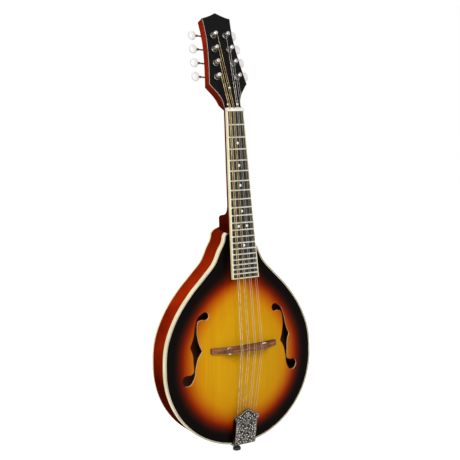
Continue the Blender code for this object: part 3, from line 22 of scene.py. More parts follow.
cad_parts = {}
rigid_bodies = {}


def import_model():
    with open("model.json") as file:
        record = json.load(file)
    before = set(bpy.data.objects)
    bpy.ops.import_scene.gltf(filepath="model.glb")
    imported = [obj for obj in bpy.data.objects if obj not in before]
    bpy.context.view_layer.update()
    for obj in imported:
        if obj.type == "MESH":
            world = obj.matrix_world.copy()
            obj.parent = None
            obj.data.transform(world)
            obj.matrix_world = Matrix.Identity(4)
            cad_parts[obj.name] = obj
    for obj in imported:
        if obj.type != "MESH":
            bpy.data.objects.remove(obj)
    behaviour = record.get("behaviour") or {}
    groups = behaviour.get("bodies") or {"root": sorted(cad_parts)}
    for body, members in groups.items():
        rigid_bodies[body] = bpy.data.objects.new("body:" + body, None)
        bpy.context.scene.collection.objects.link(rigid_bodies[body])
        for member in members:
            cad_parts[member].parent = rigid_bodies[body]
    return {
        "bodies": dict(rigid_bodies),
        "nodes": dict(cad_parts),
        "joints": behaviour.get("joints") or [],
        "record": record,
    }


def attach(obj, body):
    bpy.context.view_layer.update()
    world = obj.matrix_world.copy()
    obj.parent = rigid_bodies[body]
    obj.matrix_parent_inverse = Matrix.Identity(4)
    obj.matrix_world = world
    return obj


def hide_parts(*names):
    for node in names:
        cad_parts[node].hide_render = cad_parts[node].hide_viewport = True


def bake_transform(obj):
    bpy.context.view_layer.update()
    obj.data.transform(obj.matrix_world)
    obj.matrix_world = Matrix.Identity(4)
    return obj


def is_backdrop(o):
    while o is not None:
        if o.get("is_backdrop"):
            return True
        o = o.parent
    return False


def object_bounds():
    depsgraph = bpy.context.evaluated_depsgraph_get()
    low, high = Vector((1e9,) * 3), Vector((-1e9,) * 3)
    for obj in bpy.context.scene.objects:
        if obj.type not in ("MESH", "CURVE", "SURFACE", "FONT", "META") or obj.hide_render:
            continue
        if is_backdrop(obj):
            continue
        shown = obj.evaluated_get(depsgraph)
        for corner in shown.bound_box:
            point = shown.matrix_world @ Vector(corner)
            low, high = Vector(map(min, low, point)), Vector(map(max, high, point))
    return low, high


LOG = logging.getLogger("mandolin")
MM = 0.001
TURN = 2.0 * pi
ROOT = "instrument"
X_AXIS, Z_AXIS = Vector((1.0, 0.0, 0.0)), Vector((0.0, 0.0, 1.0))

Piece = bpy.types.Object
Pair = tuple[float, float]
Ring = list[Vector]


@dataclass(frozen=True)
class Axes:
    """A place on the instrument with its own directions: x, along and out."""

    origin: Vector
    tilt: float

    @property
    def along(self) -> Vector:
        """The direction that runs up this part of the instrument."""
        return Vector((0.0, sin(self.tilt), cos(self.tilt)))

    @property
    def out(self) -> Vector:
        """The direction that points away from its face."""
        return Vector((0.0, -cos(self.tilt), sin(self.tilt)))

    def point(self, x: float, along: float, out: float) -> Vector:
        """The point at these distances from the origin."""
        return self.origin + Vector((x, 0.0, 0.0)) + self.along * along + self.out * out


def smooth_curve(knots: Sequence[Pair], steps: int, first: Pair | None = None,
                 last: Pair | None = None) -> list[Vector]:
    """Points on a smooth curve through some knots.

    Args:
        knots: The points that the curve passes through.
        steps: How many points to return.
        first: The direction at the first knot, or None for the first span's own.
        last: The direction at the last knot, or None for the last span's own.

    Returns:
        The points, evenly spread over the spans.
    """
    spots = [Vector(knot) for knot in knots]
    spans = [(b - a).length for a, b in zip(spots, spots[1:])]
    slopes = [Vector(first) if first else (spots[1] - spots[0]) / spans[0]]
    for (a, b, c), before, after in zip(zip(spots, spots[1:], spots[2:]), spans, spans[1:]):
        slopes.append(((b - a) / before * after + (c - b) / after * before) / (before + after))
    slopes.append(Vector(last) if last else (spots[-1] - spots[-2]) / spans[-1])
    total = sum(spans)
    curve = []
    for step in range(steps):
        reach, index = total * step / (steps - 1), 0
        while index < len(spans) - 1 and reach > spans[index]:
            reach -= spans[index]
            index += 1
        span = spans[index]
        t = min(reach / span, 1.0)
        curve.append(spots[index] * (2 * t**3 - 3 * t**2 + 1) + slopes[index] * span * (t**3 - 2 * t**2 + t)
                     + spots[index + 1] * (3 * t**2 - 2 * t**3) + slopes[index + 1] * span * (t**3 - t**2))
    return curve


@dataclass(frozen=True)
class Layout:
    """The sizes and axes that all the sub-assemblies share."""

    scale: float = 350.0 * MM
    joint_fret: int = 12
    frets: int = 20
    past_last_fret: float = 7.7 * MM
    neck_tilt: float = radians(5.6)
    head_tilt: float = radians(14.0)
    board_rise: float = 13.4 * MM
    board_thick: float = 6.0 * MM
    nut_width: float = 28.5 * MM
    end_width: float = 44.4 * MM
    head_thick: float = 16.0 * MM
    hanger_along: float = 24.0 * MM
    body_end: float = -333.0 * MM
    compensation: float = 5.2 * MM
    string_over_end: float = 4.2 * MM
    hook_above_end: float = 33.0 * MM
    hook_out: float = 11.5 * MM
    gap: float = 0.3 * MM

    def fret(self, number: int) -> float:
        """Distance of a fret from the nut."""
        return self.scale * (1.0 - 2.0 ** (-number / 12.0))

    @property
    def nut_along(self) -> float:
        """Distance of the nut from the joint, along the neck."""
        return self.fret(self.joint_fret)

    @property
    def board_length(self) -> float:
        """The fretboard's length."""
        return self.fret(self.frets) + self.past_last_fret

    def board_half(self, along: float) -> float:
        """Half the fretboard's width at a distance along the neck."""
        share = (self.nut_along - along) / self.board_length
        return 0.5 * (self.nut_width + (self.end_width - self.nut_width) * share)

    def _from_joint(self, joint: Vector) -> tuple[Axes, Axes, Axes]:
        """The axes of body, neck and head for a joint at this point.

        Args:
            joint: Where neck and body meet.

        Returns:
            The three axes.
        """
        body = Axes(joint, 0.0)
        neck = Axes(body.point(0.0, 0.0, self.board_rise), self.neck_tilt)
        head = Axes(neck.point(0.0, self.nut_along, -self.board_thick), self.neck_tilt + self.head_tilt)
        return body, neck, head

    @property
    def parts(self) -> tuple[Axes, Axes, Axes]:
        """The axes of body, neck and head, with the hanger's place as the origin."""
        hanger = self._from_joint(Vector())[2].point(0.0, self.hanger_along, -0.5 * self.head_thick)
        return self._from_joint(-hanger)

    @property
    def string_rest(self) -> Vector:
        """Where the strings cross the saddle, from the body's origin.

        Returns:
            The point.
        """
        body, neck, _ = self.parts
        along = self.nut_along - self.scale - self.compensation
        return neck.point(0.0, along, self.string_over_end) - body.origin

    @property
    def tail(self) -> Axes:
        """The tailpiece's axes, which lie in line with the strings behind the bridge.

        Returns:
            The axes.
        """
        rest = self.string_rest
        hook_z = self.body_end + self.hook_above_end
        lean = -atan2(-rest.y - self.hook_out, rest.z - hook_z)
        return Axes(self.parts[0].point(0.0, hook_z, self.hook_out), lean)


PLAN = Layout()
BODY, NECK, HEAD = PLAN.parts
TAIL = PLAN.tail
BRIDGE_Z = PLAN.string_rest.z
STRING_OUT = -PLAN.string_rest.y


class Bank(Enum):
    """The two sides of the head, with the direction of each along X."""

    BASS = -1
    TREBLE = 1

    @property
    def word(self) -> str:
        """The word that piece names use for this side."""
        return self.name.lower()


def take(*pieces: Piece) -> None:
    """Select only these pieces and make the first one active.

    Args:
        pieces: What to select.
    """
    if bpy.context.object and bpy.context.object.mode != "OBJECT":
        bpy.ops.object.mode_set(mode="OBJECT")
    bpy.ops.object.select_all(action="DESELECT")
    for piece in pieces:
        piece.select_set(True)
    if pieces:
        bpy.context.view_layer.objects.active = pieces[0]


@contextmanager
def editing(piece: Piece, mode: str = "VERT") -> Iterator[bmesh.types.BMesh]:
    """Edit mode on one piece, with nothing selected at its start.

    Args:
        piece: The mesh to edit.
        mode: What is selected: VERT, EDGE or FACE.

    Yields:
        The mesh as it stands in edit mode.
    """
    take(piece)
    bpy.ops.object.mode_set(mode="EDIT")
    bpy.ops.mesh.select_mode(type=mode)
    bpy.ops.mesh.select_all(action="DESELECT")
    try:
        yield bmesh.from_edit_mesh(piece.data)
    finally:
        bpy.ops.object.mode_set(mode="OBJECT")


def ring_blank(name: str, points: Sequence[Vector]) -> Piece:
    """A primitive circle whose corners are moved onto the points of a ring.

    Args:
        name: The piece's name.
        points: Where its corners go.

    Returns:
        The ring.
    """
    take()
    bpy.ops.mesh.primitive_circle_add(vertices=len(points), radius=MM, fill_type="NOTHING",
                                      location=(0.0, 0.0, 0.0))
    piece = bpy.context.object
    piece.name = piece.data.name = name
    for vertex, point in zip(piece.data.vertices, points):
        vertex.co = point
    return piece


def select_run(mesh: bmesh.types.BMesh, start: int, count: int) -> None:
    """Select a run of corners by their numbers, and the edges between them.

    Args:
        mesh: The mesh in edit mode.
        start: The first corner's number.
        count: How many corners.
    """
    mesh.verts.ensure_lookup_table()
    for vertex in mesh.verts:
        vertex.select_set(start <= vertex.index < start + count)
    mesh.select_flush(True)


def loft(name: str, rings: Sequence[Ring], capped: bool = True, closed: bool = False) -> Piece:
    """A skin through rings of points: each ring is extruded from the one before.

    Args:
        name: The piece's name.
        rings: The rings, all with the same number of points.
        capped: Whether the two end rings are filled with a face.
        closed: Whether the last ring is bridged to the first, as on a washer.

    Returns:
        The finished mesh, with its faces outwards.
    """
    piece = ring_blank(name, rings[0])
    count = len(rings[0])
    with editing(piece) as mesh:
        bpy.ops.mesh.select_all(action="SELECT")
        for ring in rings[1:]:
            bpy.ops.mesh.extrude_region_move(TRANSFORM_OT_translate={"value": (0.0, 0.0, 0.0)})
            mesh = bmesh.from_edit_mesh(piece.data)
            mesh.verts.index_update()
            base = len(mesh.verts) - 2 * count
            for vertex in [v for v in mesh.verts if v.select]:
                old = next(o for o in (e.other_vert(vertex) for e in vertex.link_edges) if not o.select)
                vertex.co = ring[old.index - base]
            bmesh.update_edit_mesh(piece.data)
        if capped:
            bpy.ops.mesh.edge_face_add()
            select_run(mesh, 0, count)
            bpy.ops.mesh.edge_face_add()
        if closed:
            mesh.verts.ensure_lookup_table()
            last = len(mesh.verts) - count
            for vertex in mesh.verts:
                vertex.select_set(vertex.index < count or vertex.index >= last)
            mesh.select_flush(True)
            for edge in mesh.edges:
                ends = sorted(v.index for v in edge.verts)
                edge.select_set(ends[1] < count or ends[0] >= last)
            bpy.ops.mesh.bridge_edge_loops()
        bpy.ops.mesh.select_all(action="SELECT")
        bpy.ops.mesh.normals_make_consistent(inside=False)
    return piece


def slab(name: str, axes: Axes, outline: Sequence[Pair], low: float, high: float) -> Piece:
    """A flat-faced piece: an outline of (x, along) from one level to another."""
    return loft(name, [[axes.point(x, along, out) for x, along in outline] for out in (low, high)])


def lathe(name: str, centre: Vector, axis: Vector, side: Vector, profile: Sequence[tuple],
          steps: int, closed: bool = False) -> Piece:
    """A round piece turned from a profile.

    Args:
        name: The piece's name.
        centre: Where the profile's distances start.
        axis: The direction of the axis.
        side: A direction across it, which the first radius follows.
        profile: Pairs of distance and radius, or threes with a second radius.
        steps: How many points go round.
        closed: Whether the profile is a loop that doesn't reach the axis.

    Returns:
        The turned mesh.
    """
    other = axis.cross(side)
    rings = []
    for distance, wide, *more in profile:
        narrow = more[0] if more else wide
        rings.append([centre + axis * distance + side * (wide * cos(turn))
                      + other * (narrow * sin(turn))
                      for turn in (TURN * step / steps for step in range(steps))])
    return loft(name, rings, capped=not closed, closed=closed)


def tube(name: str, route: Sequence[Vector], radius: float, resolution: int = 3) -> Piece:
    """A round wire with closed ends along a route, made a mesh.

    Args:
        name: The piece's name.
        route: The points that it follows.
        radius: Its radius.
        resolution: How finely its section is rounded.

    Returns:
        The wire.
    """
    take()
    bpy.ops.curve.primitive_bezier_curve_add(location=(0.0, 0.0, 0.0))
    curve = bpy.context.object.data
    curve.splines.clear()
    curve.dimensions, curve.use_fill_caps = "3D", True
    curve.bevel_depth, curve.bevel_resolution = radius, resolution
    spline = curve.splines.new("POLY")
    spline.points.add(len(route) - 1)
    for spot, point in zip(spline.points, route):
        spot.co = (*point, 1.0)
    take(bpy.context.object)
    bpy.ops.object.convert(target="MESH")
    piece = bpy.context.object
    piece.name = piece.data.name = name
    return piece


def apply(piece: Piece, kind: str, **settings: object) -> Piece:
    """Put a modifier on a piece, with its settings, and apply it.

    Args:
        piece: The mesh.
        kind: The modifier's type.
        settings: The modifier's own settings.

    Returns:
        The same piece.
    """
    take(piece)
    modifier = piece.modifiers.new(kind.lower(), kind)
    for name, value in settings.items():
        setattr(modifier, name, value)
    bpy.ops.object.modifier_apply(modifier=modifier.name)
    return piece


def ease(piece: Piece, width: float, segments: int = 2, angle: float = 35.0) -> Piece:
    """Round the edges of a piece that are sharper than an angle in degrees."""
    return apply(piece, "BEVEL", width=width, segments=segments, limit_method="ANGLE",
                 angle_limit=radians(angle), harden_normals=False)


def carve(piece: Piece, *cutters: Piece, how: str = "DIFFERENCE", keep_finish: bool = False) -> Piece:
    """Cut pieces out of another, or join them to it, and take the cutters away.

    Args:
        piece: The mesh.
        how: DIFFERENCE or UNION.
        keep_finish: Whether a cut wall keeps its cutter's finish.
        cutters: What is cut out or joined to it.

    Returns:
        The same piece.
    """
    for cutter in cutters:
        apply(piece, "BOOLEAN", operation=how, solver="EXACT", object=cutter,
              material_mode="TRANSFER" if keep_finish else "INDEX")
        bpy.data.objects.remove(cutter)
    return piece


def joined(name: str, *pieces: Piece) -> Piece:
    """Several pieces as one object.

    Args:
        name: The piece's name.
        pieces: What to join.

    Returns:
        The whole.
    """
    take(*pieces)
    bpy.ops.object.join()
    whole = bpy.context.object
    whole.name = whole.data.name = name
    return whole


def oblong(low_x: float, high_x: float, low: float, high: float) -> list[Pair]:
    """The four corners of an upright oblong."""
    return [(low_x, low), (high_x, low), (high_x, high), (low_x, high)]


def copied(piece: Piece, name: str, place: Matrix) -> Piece:
    """A copy of a piece with its own mesh, put in its place in that mesh.

    Args:
        piece: The model.
        name: The copy's name.
        place: Where the copy goes.

    Returns:
        The copy.
    """
    take(piece)
    bpy.ops.object.duplicate()
    copy = bpy.context.object
    copy.name = copy.data.name = name
    copy.matrix_world = place
    bpy.ops.object.transform_apply(location=True, rotation=True, scale=True)
    return copy


def shade(piece: Piece, angle: float = 35.0) -> Piece:
    """Shade a piece smooth, with edges sharper than an angle in degrees left sharp.

    Args:
        piece: The mesh.
        angle: The angle.

    Returns:
        The same piece.
    """
    take(piece)
    bpy.ops.object.shade_smooth_by_angle(angle=radians(angle))
    return piece


class Wire:
    """An output socket on which Python's arithmetic adds Math nodes."""

    def __init__(self, graph: "Graph", socket: bpy.types.NodeSocket) -> None:
        """Keep the socket and the graph that it stands in."""
        self.graph, self.socket = graph, socket

    def _maths(self, operation: str, *values: "Wire | float") -> "Wire":
        """A Math node on some values."""
        return self.graph.node("Math", {"operation": operation}, dict(enumerate(values)))

    def __add__(self, other: "Wire | float") -> "Wire":
        """The sum."""
        return self._maths("ADD", self, other)

    __radd__ = __add__

    def __sub__(self, other: "Wire | float") -> "Wire":
        """The difference."""
        return self._maths("SUBTRACT", self, other)

    def __rsub__(self, other: float) -> "Wire":
        """The difference from a number."""
        return self._maths("SUBTRACT", other, self)

    def __mul__(self, other: "Wire | float") -> "Wire":
        """The product."""
        return self._maths("MULTIPLY", self, other)

    __rmul__ = __mul__

    def __truediv__(self, other: "Wire | float") -> "Wire":
        """The quotient."""
        return self._maths("DIVIDE", self, other)

    def wave(self) -> "Wire":
        """The sine."""
        return self._maths("SINE", self)

    def clamped(self) -> "Wire":
        """The value, kept between 0 and 1."""
        return self.graph.node("Clamp", {}, {"Value": self})


class Graph:
    """The nodes of a material or of the world, with its shader at their end."""

    def __init__(self, owner: bpy.types.Material | bpy.types.World, shader: str) -> None:
        """Start from the owner's own shader.

        Args:
            owner: The material or world.
            shader: The name of its shader node.
        """
        owner.use_nodes = True
        self.tree = owner.node_tree
        self.shader = self.tree.nodes[shader]

    def node(self, kind: str, settings: dict | None = None, inputs: dict | None = None,
             output: int | str = 0) -> Wire:
        """Any node but a sum of values.

        Args:
            kind: The node's type, without its ShaderNode prefix.
            settings: Its own settings, and a ramp's stops as pairs of place and colour.
            inputs: Values or wires, by the socket's name or number.
            output: Which of its outputs to return.

        Returns:
            The wire of that output.
        """
        node = self.tree.nodes.new("ShaderNode" + kind)
        settings = dict(settings or {})
        stops = settings.pop("stops", None)
        for name, value in settings.items():
            setattr(node, name, value)
        if stops:
            ramp = node.color_ramp.elements
            while len(ramp) < len(stops):
                ramp.new(0.5)
            for element, (place, colour) in zip(ramp, stops):
                element.position = place
                element.color = (*colour, 1.0)
        for key, value in (inputs or {}).items():
            self.set(node.inputs[key], value)
        return Wire(self, node.outputs[output])

    def set(self, socket: bpy.types.NodeSocket, value: object) -> None:
        """Link a wire to a socket, or set the socket's own value.

        Args:
            socket: The input socket.
            value: A wire, a number or a colour.
        """
        if isinstance(value, Wire):
            self.tree.links.new(value.socket, socket)
        elif isinstance(value, tuple) and len(value) == 3 and socket.type == "RGBA":
            socket.default_value = (*value, 1.0)
        else:
            socket.default_value = value

    def surface(self, **sockets: object) -> None:
        """Set the shader's sockets, by their names with _ for a space."""
        for name, value in sockets.items():
            self.set(self.shader.inputs[name.replace("_", " ")], value)

    def place(self) -> Wire:
        """Object coordinates, in metres."""
        return self.node("TexCoord", {}, {}, "Object")

    def own(self, attribute: str, output: str = "Fac") -> Wire:
        """One of the piece's own attributes."""
        return self.node("Attribute", {"attribute_name": attribute}, {}, output)

    def leant(self, vector: Wire, turn: tuple) -> Wire:
        """Coordinates turned by some angles."""
        return self.node("Mapping", {}, {"Vector": vector, "Rotation": turn})

    def noise(self, vector: Wire, scale: float = 1.0, detail: float = 2.0, rough: float = 0.5) -> Wire:
        """Noise between 0 and 1."""
        return self.node("TexNoise", {}, {"Vector": vector, "Scale": scale, "Detail": detail,
                                          "Roughness": rough})

    def grain(self, vector: Wire, scale: tuple, detail: float = 2.0, rough: float = 0.5) -> Wire:
        """Noise with a scale of its own for each direction."""
        stretched = self.node("Mapping", {}, {"Vector": vector, "Scale": scale})
        return self.noise(stretched, 1.0, detail, rough)

    def spread(self, value: Wire, low: float, high: float, start: float = 0.0, end: float = 1.0) -> Wire:
        """A value's range mapped onto another, and kept inside it."""
        return self.node("MapRange", {}, {"Value": value, "From Min": low, "From Max": high,
                                          "To Min": start, "To Max": end})

    def mixed(self, share: Wire | float, first: object, second: object, blend: str = "MIX") -> Wire:
        """Two colours mixed by a share."""
        return self.node("Mix", {"data_type": "RGBA", "blend_type": blend},
                         {0: share, 6: first, 7: second}, 2)

    def toned(self, colour: object, amount: Wire) -> Wire:
        """A colour made lighter or darker by an amount round 1."""
        grey = self.node("CombineColor", {}, {0: amount, 1: amount, 2: amount})
        return self.mixed(1.0, colour, grey, "MULTIPLY")

    def burst(self, value: Wire, stops: Sequence[tuple]) -> Wire:
        """Colours chosen by a value from stops of a place and a screen colour."""
        return self.node("ValToRGB", {"stops": [(spot, tint(*tone)) for spot, tone in stops]}, {"Fac": value})

    def bump(self, height: Wire, depth: float, strength: float = 1.0) -> Wire:
        """A normal that follows a height, which is this deep in metres at 1."""
        return self.node("Bump", {}, {"Height": height, "Distance": depth, "Strength": strength}, "Normal")

    def seen(self) -> Wire:
        """1 for what the camera, a reflection or a clear piece looks at, else 0."""
        camera, glossy, clear = [self.node("LightPath", {}, {}, f"Is {ray} Ray")
                                 for ray in ("Camera", "Glossy", "Transmission")]
        return (camera + glossy + clear).clamped()


def tint(red: int, green: int, blue: int) -> tuple:
    """A colour as it looks on a screen, from 0 to 255, made linear.

    Args:
        red: The red part.
        green: The green part.
        blue: The blue part.

    Returns:
        The three linear parts, from 0 to 1.
    """
    shares = [value / 255.0 for value in (red, green, blue)]
    return tuple(s / 12.92 if s <= 0.04045 else ((s + 0.055) / 1.055) ** 2.4 for s in shares)


@dataclass(frozen=True)
class Finish:
    """A surface finish, and the record's slot that it belongs to."""

    name: str
    slot: str

    def paint(self, graph: Graph) -> None:
        """Lay the finish's nodes."""
        raise NotImplementedError

    def material(self) -> bpy.types.Material:
        """The finish's material, made the first time that it is asked for.

        Returns:
            The material.
        """
        found = bpy.data.materials.get("finish_" + self.name)
        if not found:
            found = bpy.data.materials.new("finish_" + self.name)
            self.paint(Graph(found, "Principled BSDF"))
        return found


@dataclass(frozen=True)
class Sunburst(Finish):
    """Spruce under a burst that follows the body's edge, from amber to black."""

    reach: float = 80.0
    wander: float = 3.0
    roughness: float = 0.2
    stops: tuple = ((0.15, (10, 6, 5)), (0.19, (19, 9, 6)), (0.23, (40, 13, 6)), (0.28, (72, 18, 6)),
                    (0.34, (118, 28, 3)), (0.4, (154, 52, 4)), (0.475, (180, 85, 7)), (0.56, (196, 114, 10)),
                    (0.68, (208, 142, 12)), (0.95, (212, 155, 16)))

    def paint(self, graph: Graph) -> None:
        """Burst, broad bands and fine grain lines that run up the board.

        Args:
            graph: The material's nodes.
        """
        place = graph.place()
        # On the soundboard, edge_mm also carries painted shade and light beside the fretboard.
        edge = (graph.own("edge_mm") + (graph.noise(place, 24.0) - 0.5) * self.wander) / self.reach
        bands = graph.grain(place, (85.0, 30.0, 3.0), 3.0, 0.6)
        lines = graph.grain(place, (900.0, 60.0, 9.0))
        rays = graph.grain(place, (260.0, 60.0, 700.0), 1.0)
        tone = (bands - 0.5) * 0.22 + (lines - 0.5) * 0.24 + (rays - 0.5) * 0.06 + 1.0
        rough = graph.spread(graph.noise(place, 60.0, 3.0), 0.3, 0.7, self.roughness - 0.04,
                             self.roughness + 0.05)
        graph.surface(Base_Color=graph.toned(graph.burst(edge, self.stops), tone), Roughness=rough,
                      Specular_IOR_Level=0.025)


@dataclass(frozen=True)
class Maple(Finish):
    """Red-brown lacquered maple with pores along its run and a faint flame across it."""

    colour: tuple = (150, 42, 17)
    dark: tuple = (96, 22, 9)
    flame: float = 0.24
    by_run: bool = False
    lean: float = 0.0
    fades: tuple = ()

    def paint(self, graph: Graph) -> None:
        """Colour, flame and pores, by the piece's run where it bends round the body, with painted light and
        shade by height.

        Args:
            graph: The material's nodes.
        """
        if self.by_run:
            place = graph.own("run", "Vector")
            fine, wide = (16.0, 900.0, 900.0), (170.0, 9.0, 9.0)
        else:
            place = graph.leant(graph.place(), (self.lean, 0.0, 0.0))
            fine, wide = (900.0, 900.0, 16.0), (14.0, 9.0, 150.0)
        pores, flame = graph.grain(place, fine, 3.0, 0.65), graph.grain(place, wide, 1.5, 0.45)
        cloud = graph.noise(graph.place(), 16.0)
        colour = graph.mixed(graph.spread(cloud, 0.32, 0.72), tint(*self.colour), tint(*self.dark))
        tone = (flame - 0.5) * self.flame + (pores - 0.5) * 0.4 + 1.0
        # Painted light and shade: the tone is scaled by height, so the lower parts are darker and the higher
        # parts lighter.
        height = graph.node("SeparateXYZ", {}, {"Vector": graph.place()}, "Z")
        for low, high, start, end in self.fades:
            tone = tone * graph.spread(height, low, high, start, end)
        graph.surface(Base_Color=graph.toned(colour, tone), Roughness=0.2, Specular_IOR_Level=0.0)


@dataclass(frozen=True)
class BurstMaple(Finish):
    """The back's maple: a burst from red-brown to nearly black at its edge, with a flame."""

    reach: float = 80.0
    stops: tuple = ((0.1, (34, 12, 8)), (0.3, (84, 20, 9)), (0.6, (134, 38, 14)), (1.0, (158, 56, 20)))

    def paint(self, graph: Graph) -> None:
        """Burst, flame across the two matched halves and pores.

        Args:
            graph: The material's nodes.
        """
        place = graph.place()
        edge = (graph.own("edge_mm") + (graph.noise(place, 24.0) - 0.5) * 5.0) / self.reach
        mirror = graph.node("VectorMath", {"operation": "ABSOLUTE"}, {0: place})
        flame = graph.grain(graph.leant(mirror, (0.0, 0.2, 0.0)), (10.0, 10.0, 120.0), 1.5, 0.45)
        pores = graph.grain(place, (800.0, 60.0, 16.0), 3.0, 0.6)
        tone = (flame - 0.5) * 0.75 + (pores - 0.5) * 0.35 + 1.0
        graph.surface(Base_Color=graph.toned(graph.burst(edge, self.stops), tone), Roughness=0.2,
                      Specular_IOR_Level=0.1)


@dataclass(frozen=True)
class BareWood(Finish):
    """Unfinished wood inside the body and in the cut edges of the f-holes."""

    colour: tuple = (118, 66, 38)

    def paint(self, graph: Graph) -> None:
        """Straight grain with a dull surface.

        Args:
            graph: The material's nodes.
        """
        place = graph.place()
        lines = graph.grain(place, (700.0, 500.0, 10.0), 3.0, 0.6)
        tone = (lines - 0.5) * 0.5 + (graph.noise(place, 20.0) - 0.5) * 0.3 + 1.0
        graph.surface(Base_Color=graph.toned(tint(*self.colour), tone), Roughness=0.75,
                      Normal=graph.bump(lines, 0.1 * MM, 0.5))


@dataclass(frozen=True)
class CutEdge(Finish):
    """The f-holes' walls: bare wood at the lip, and near-black below it."""

    lip: float = 1.9

    def paint(self, graph: Graph) -> None:
        """A pale lip whose lower edge wanders a little.

        Args:
            graph: The material's nodes.
        """
        place = graph.place()
        deep = graph.own("depth_mm") + graph.noise(place, 300.0) * 0.4
        share = graph.spread(deep, self.lip, self.lip + 0.7)
        colour = graph.mixed(share, tint(250, 214, 156), tint(34, 18, 10))
        tone = graph.grain(place, (600.0, 600.0, 20.0)) * 0.4 + 0.8
        graph.surface(Base_Color=graph.toned(colour, tone), Roughness=0.8, Specular_IOR_Level=0.1)


@dataclass(frozen=True)
class Rosewood(Finish):
    """Oiled rosewood: dark streaks and open pores along the grain."""

    light: tuple = (72, 68, 62)
    dark: tuple = (30, 28, 26)
    across: bool = False
    lean: float = 0.0
    roughness: float = 0.42

    def paint(self, graph: Graph) -> None:
        """Streaks, pores and a worn sheen.

        Args:
            graph: The material's nodes.
        """
        place = graph.leant(graph.place(), (self.lean, 0.0, 0.0))
        streak, pore = (330.0, 150.0, 14.0), (1200.0, 1200.0, 40.0)
        if self.across:
            streak, pore = (14.0, 150.0, 330.0), (40.0, 1200.0, 1200.0)
        streaks, pores = graph.grain(place, streak, 4.0, 0.6), graph.grain(place, pore)
        colour = graph.mixed(graph.spread(streaks, 0.36, 0.66), tint(*self.dark), tint(*self.light))
        rough = graph.spread(streaks, 0.3, 0.7, self.roughness, self.roughness + 0.14)
        graph.surface(Base_Color=graph.toned(colour, graph.spread(pores, 0.3, 0.44, 0.45, 1.0)),
                      Roughness=rough, Specular_IOR_Level=0.1, Normal=graph.bump(pores, 0.08 * MM, 0.4))


@dataclass(frozen=True)
class Celluloid(Finish):
    """Cream or white plastic with a little depth and handling marks."""

    colour: tuple = (250, 240, 206)
    aged: tuple = (238, 222, 176)
    roughness: float = 0.3

    def paint(self, graph: Graph) -> None:
        """Ageing in soft clouds and fine scrape marks.

        Args:
            graph: The material's nodes.
        """
        place = graph.place()
        cloud, marks = graph.noise(place, 40.0, 3.0), graph.grain(place, (500.0, 500.0, 60.0), 3.0)
        colour = graph.mixed(graph.spread(cloud, 0.35, 0.75), tint(*self.colour), tint(*self.aged))
        rough = graph.spread(marks, 0.3, 0.7, self.roughness - 0.05, self.roughness + 0.1)
        graph.surface(Base_Color=colour, Roughness=rough)


@dataclass(frozen=True)
class Lacquer(Finish):
    """Deep black gloss."""

    roughness: float = 0.1
    gloss: float = 0.07

    def paint(self, graph: Graph) -> None:
        """Black with faint polishing clouds in its gloss.

        Args:
            graph: The material's nodes.
        """
        place = graph.place()
        haze, swirl = graph.noise(place, 70.0, 3.0), graph.noise(place, 900.0)
        colour = graph.mixed(haze, tint(13, 12, 12), tint(20, 18, 18))
        rough = graph.spread(haze, 0.3, 0.7, self.roughness - 0.03, self.roughness + 0.05)
        graph.surface(Base_Color=colour, Roughness=rough, Specular_IOR_Level=self.gloss,
                      Normal=graph.bump(swirl, 0.01 * MM, 0.15))


@dataclass(frozen=True)
class Pearl(Finish):
    """Pearloid: pale plastic whose flakes drift between white, cream and silver."""

    size: float = 260.0
    stops: tuple = ((0.0, (247, 248, 248)), (0.5, (243, 240, 236)), (0.72, (226, 228, 228)),
                    (1.0, (247, 248, 248)))

    def paint(self, graph: Graph) -> None:
        """Folded flakes with a soft sheen.

        Args:
            graph: The material's nodes.
        """
        place = graph.place()
        fold = graph.node("TexNoise", {}, {"Vector": place, "Scale": self.size, "Detail": 2.0,
                                           "Distortion": 2.4})
        flake = graph.node("TexVoronoi", {"feature": "SMOOTH_F1"},
                           {"Vector": place, "Scale": 2.0 * self.size, "Smoothness": 0.6})
        colour = graph.burst(graph.spread(fold * 0.7 + flake * 0.4, 0.25, 0.75), self.stops)
        graph.surface(Base_Color=colour, Roughness=graph.spread(fold, 0.3, 0.7, 0.2, 0.34))


@dataclass(frozen=True)
class Metal(Finish):
    """Plated or drawn metal, with wear in its colour and shine."""

    colour: tuple = (214, 214, 212)
    worn: tuple = (150, 149, 147)
    roughness: float = 0.2
    drawn: bool = False
    bare: float = 1.0

    def paint(self, graph: Graph) -> None:
        """Plating clouds, small marks, and drawing lines where it is drawn.

        Args:
            graph: The material's nodes.
        """
        place = graph.place()
        cloud = graph.noise(place, 120.0, 3.0, 0.6)
        marks = graph.grain(place, (1500.0, 1500.0, 60.0) if self.drawn else (700.0, 700.0, 700.0))
        colour = graph.mixed(graph.spread(cloud, 0.4, 0.75), tint(*self.colour), tint(*self.worn))
        rough = graph.spread(marks, 0.3, 0.7, self.roughness - 0.05, self.roughness + 0.08)
        graph.surface(Base_Color=colour, Roughness=rough, Metallic=self.bare)


@dataclass(frozen=True)
class Engraved(Finish):
    """Nickel with a stippled ground between raised scrolls, darkened in its hollows and by a painted dark
    reflection.
    """

    def paint(self, graph: Graph) -> None:
        """Stipple, tarnish and a broken shine, on near-black colours that paint a dark reflection.

        Args:
            graph: The material's nodes.
        """
        place = graph.place()
        stipple = graph.node("TexVoronoi", {}, {"Vector": place, "Scale": 1500.0})
        cloud = graph.noise(place, 900.0, 2.0, 0.6)
        # The near-black colours paint the dark reflection that the nickel shows; the stipple's pits stay
        # darkest.
        colour = graph.mixed(graph.spread(stipple, 0.1, 0.55), tint(16, 14, 12), tint(40, 36, 33))
        graph.surface(Base_Color=graph.toned(colour, (cloud - 0.5) * 0.7 + 1.0), Metallic=1.0,
                      Roughness=graph.spread(cloud, 0.3, 0.7, 0.26, 0.46),
                      Normal=graph.bump(stipple, 0.12 * MM, 0.9))


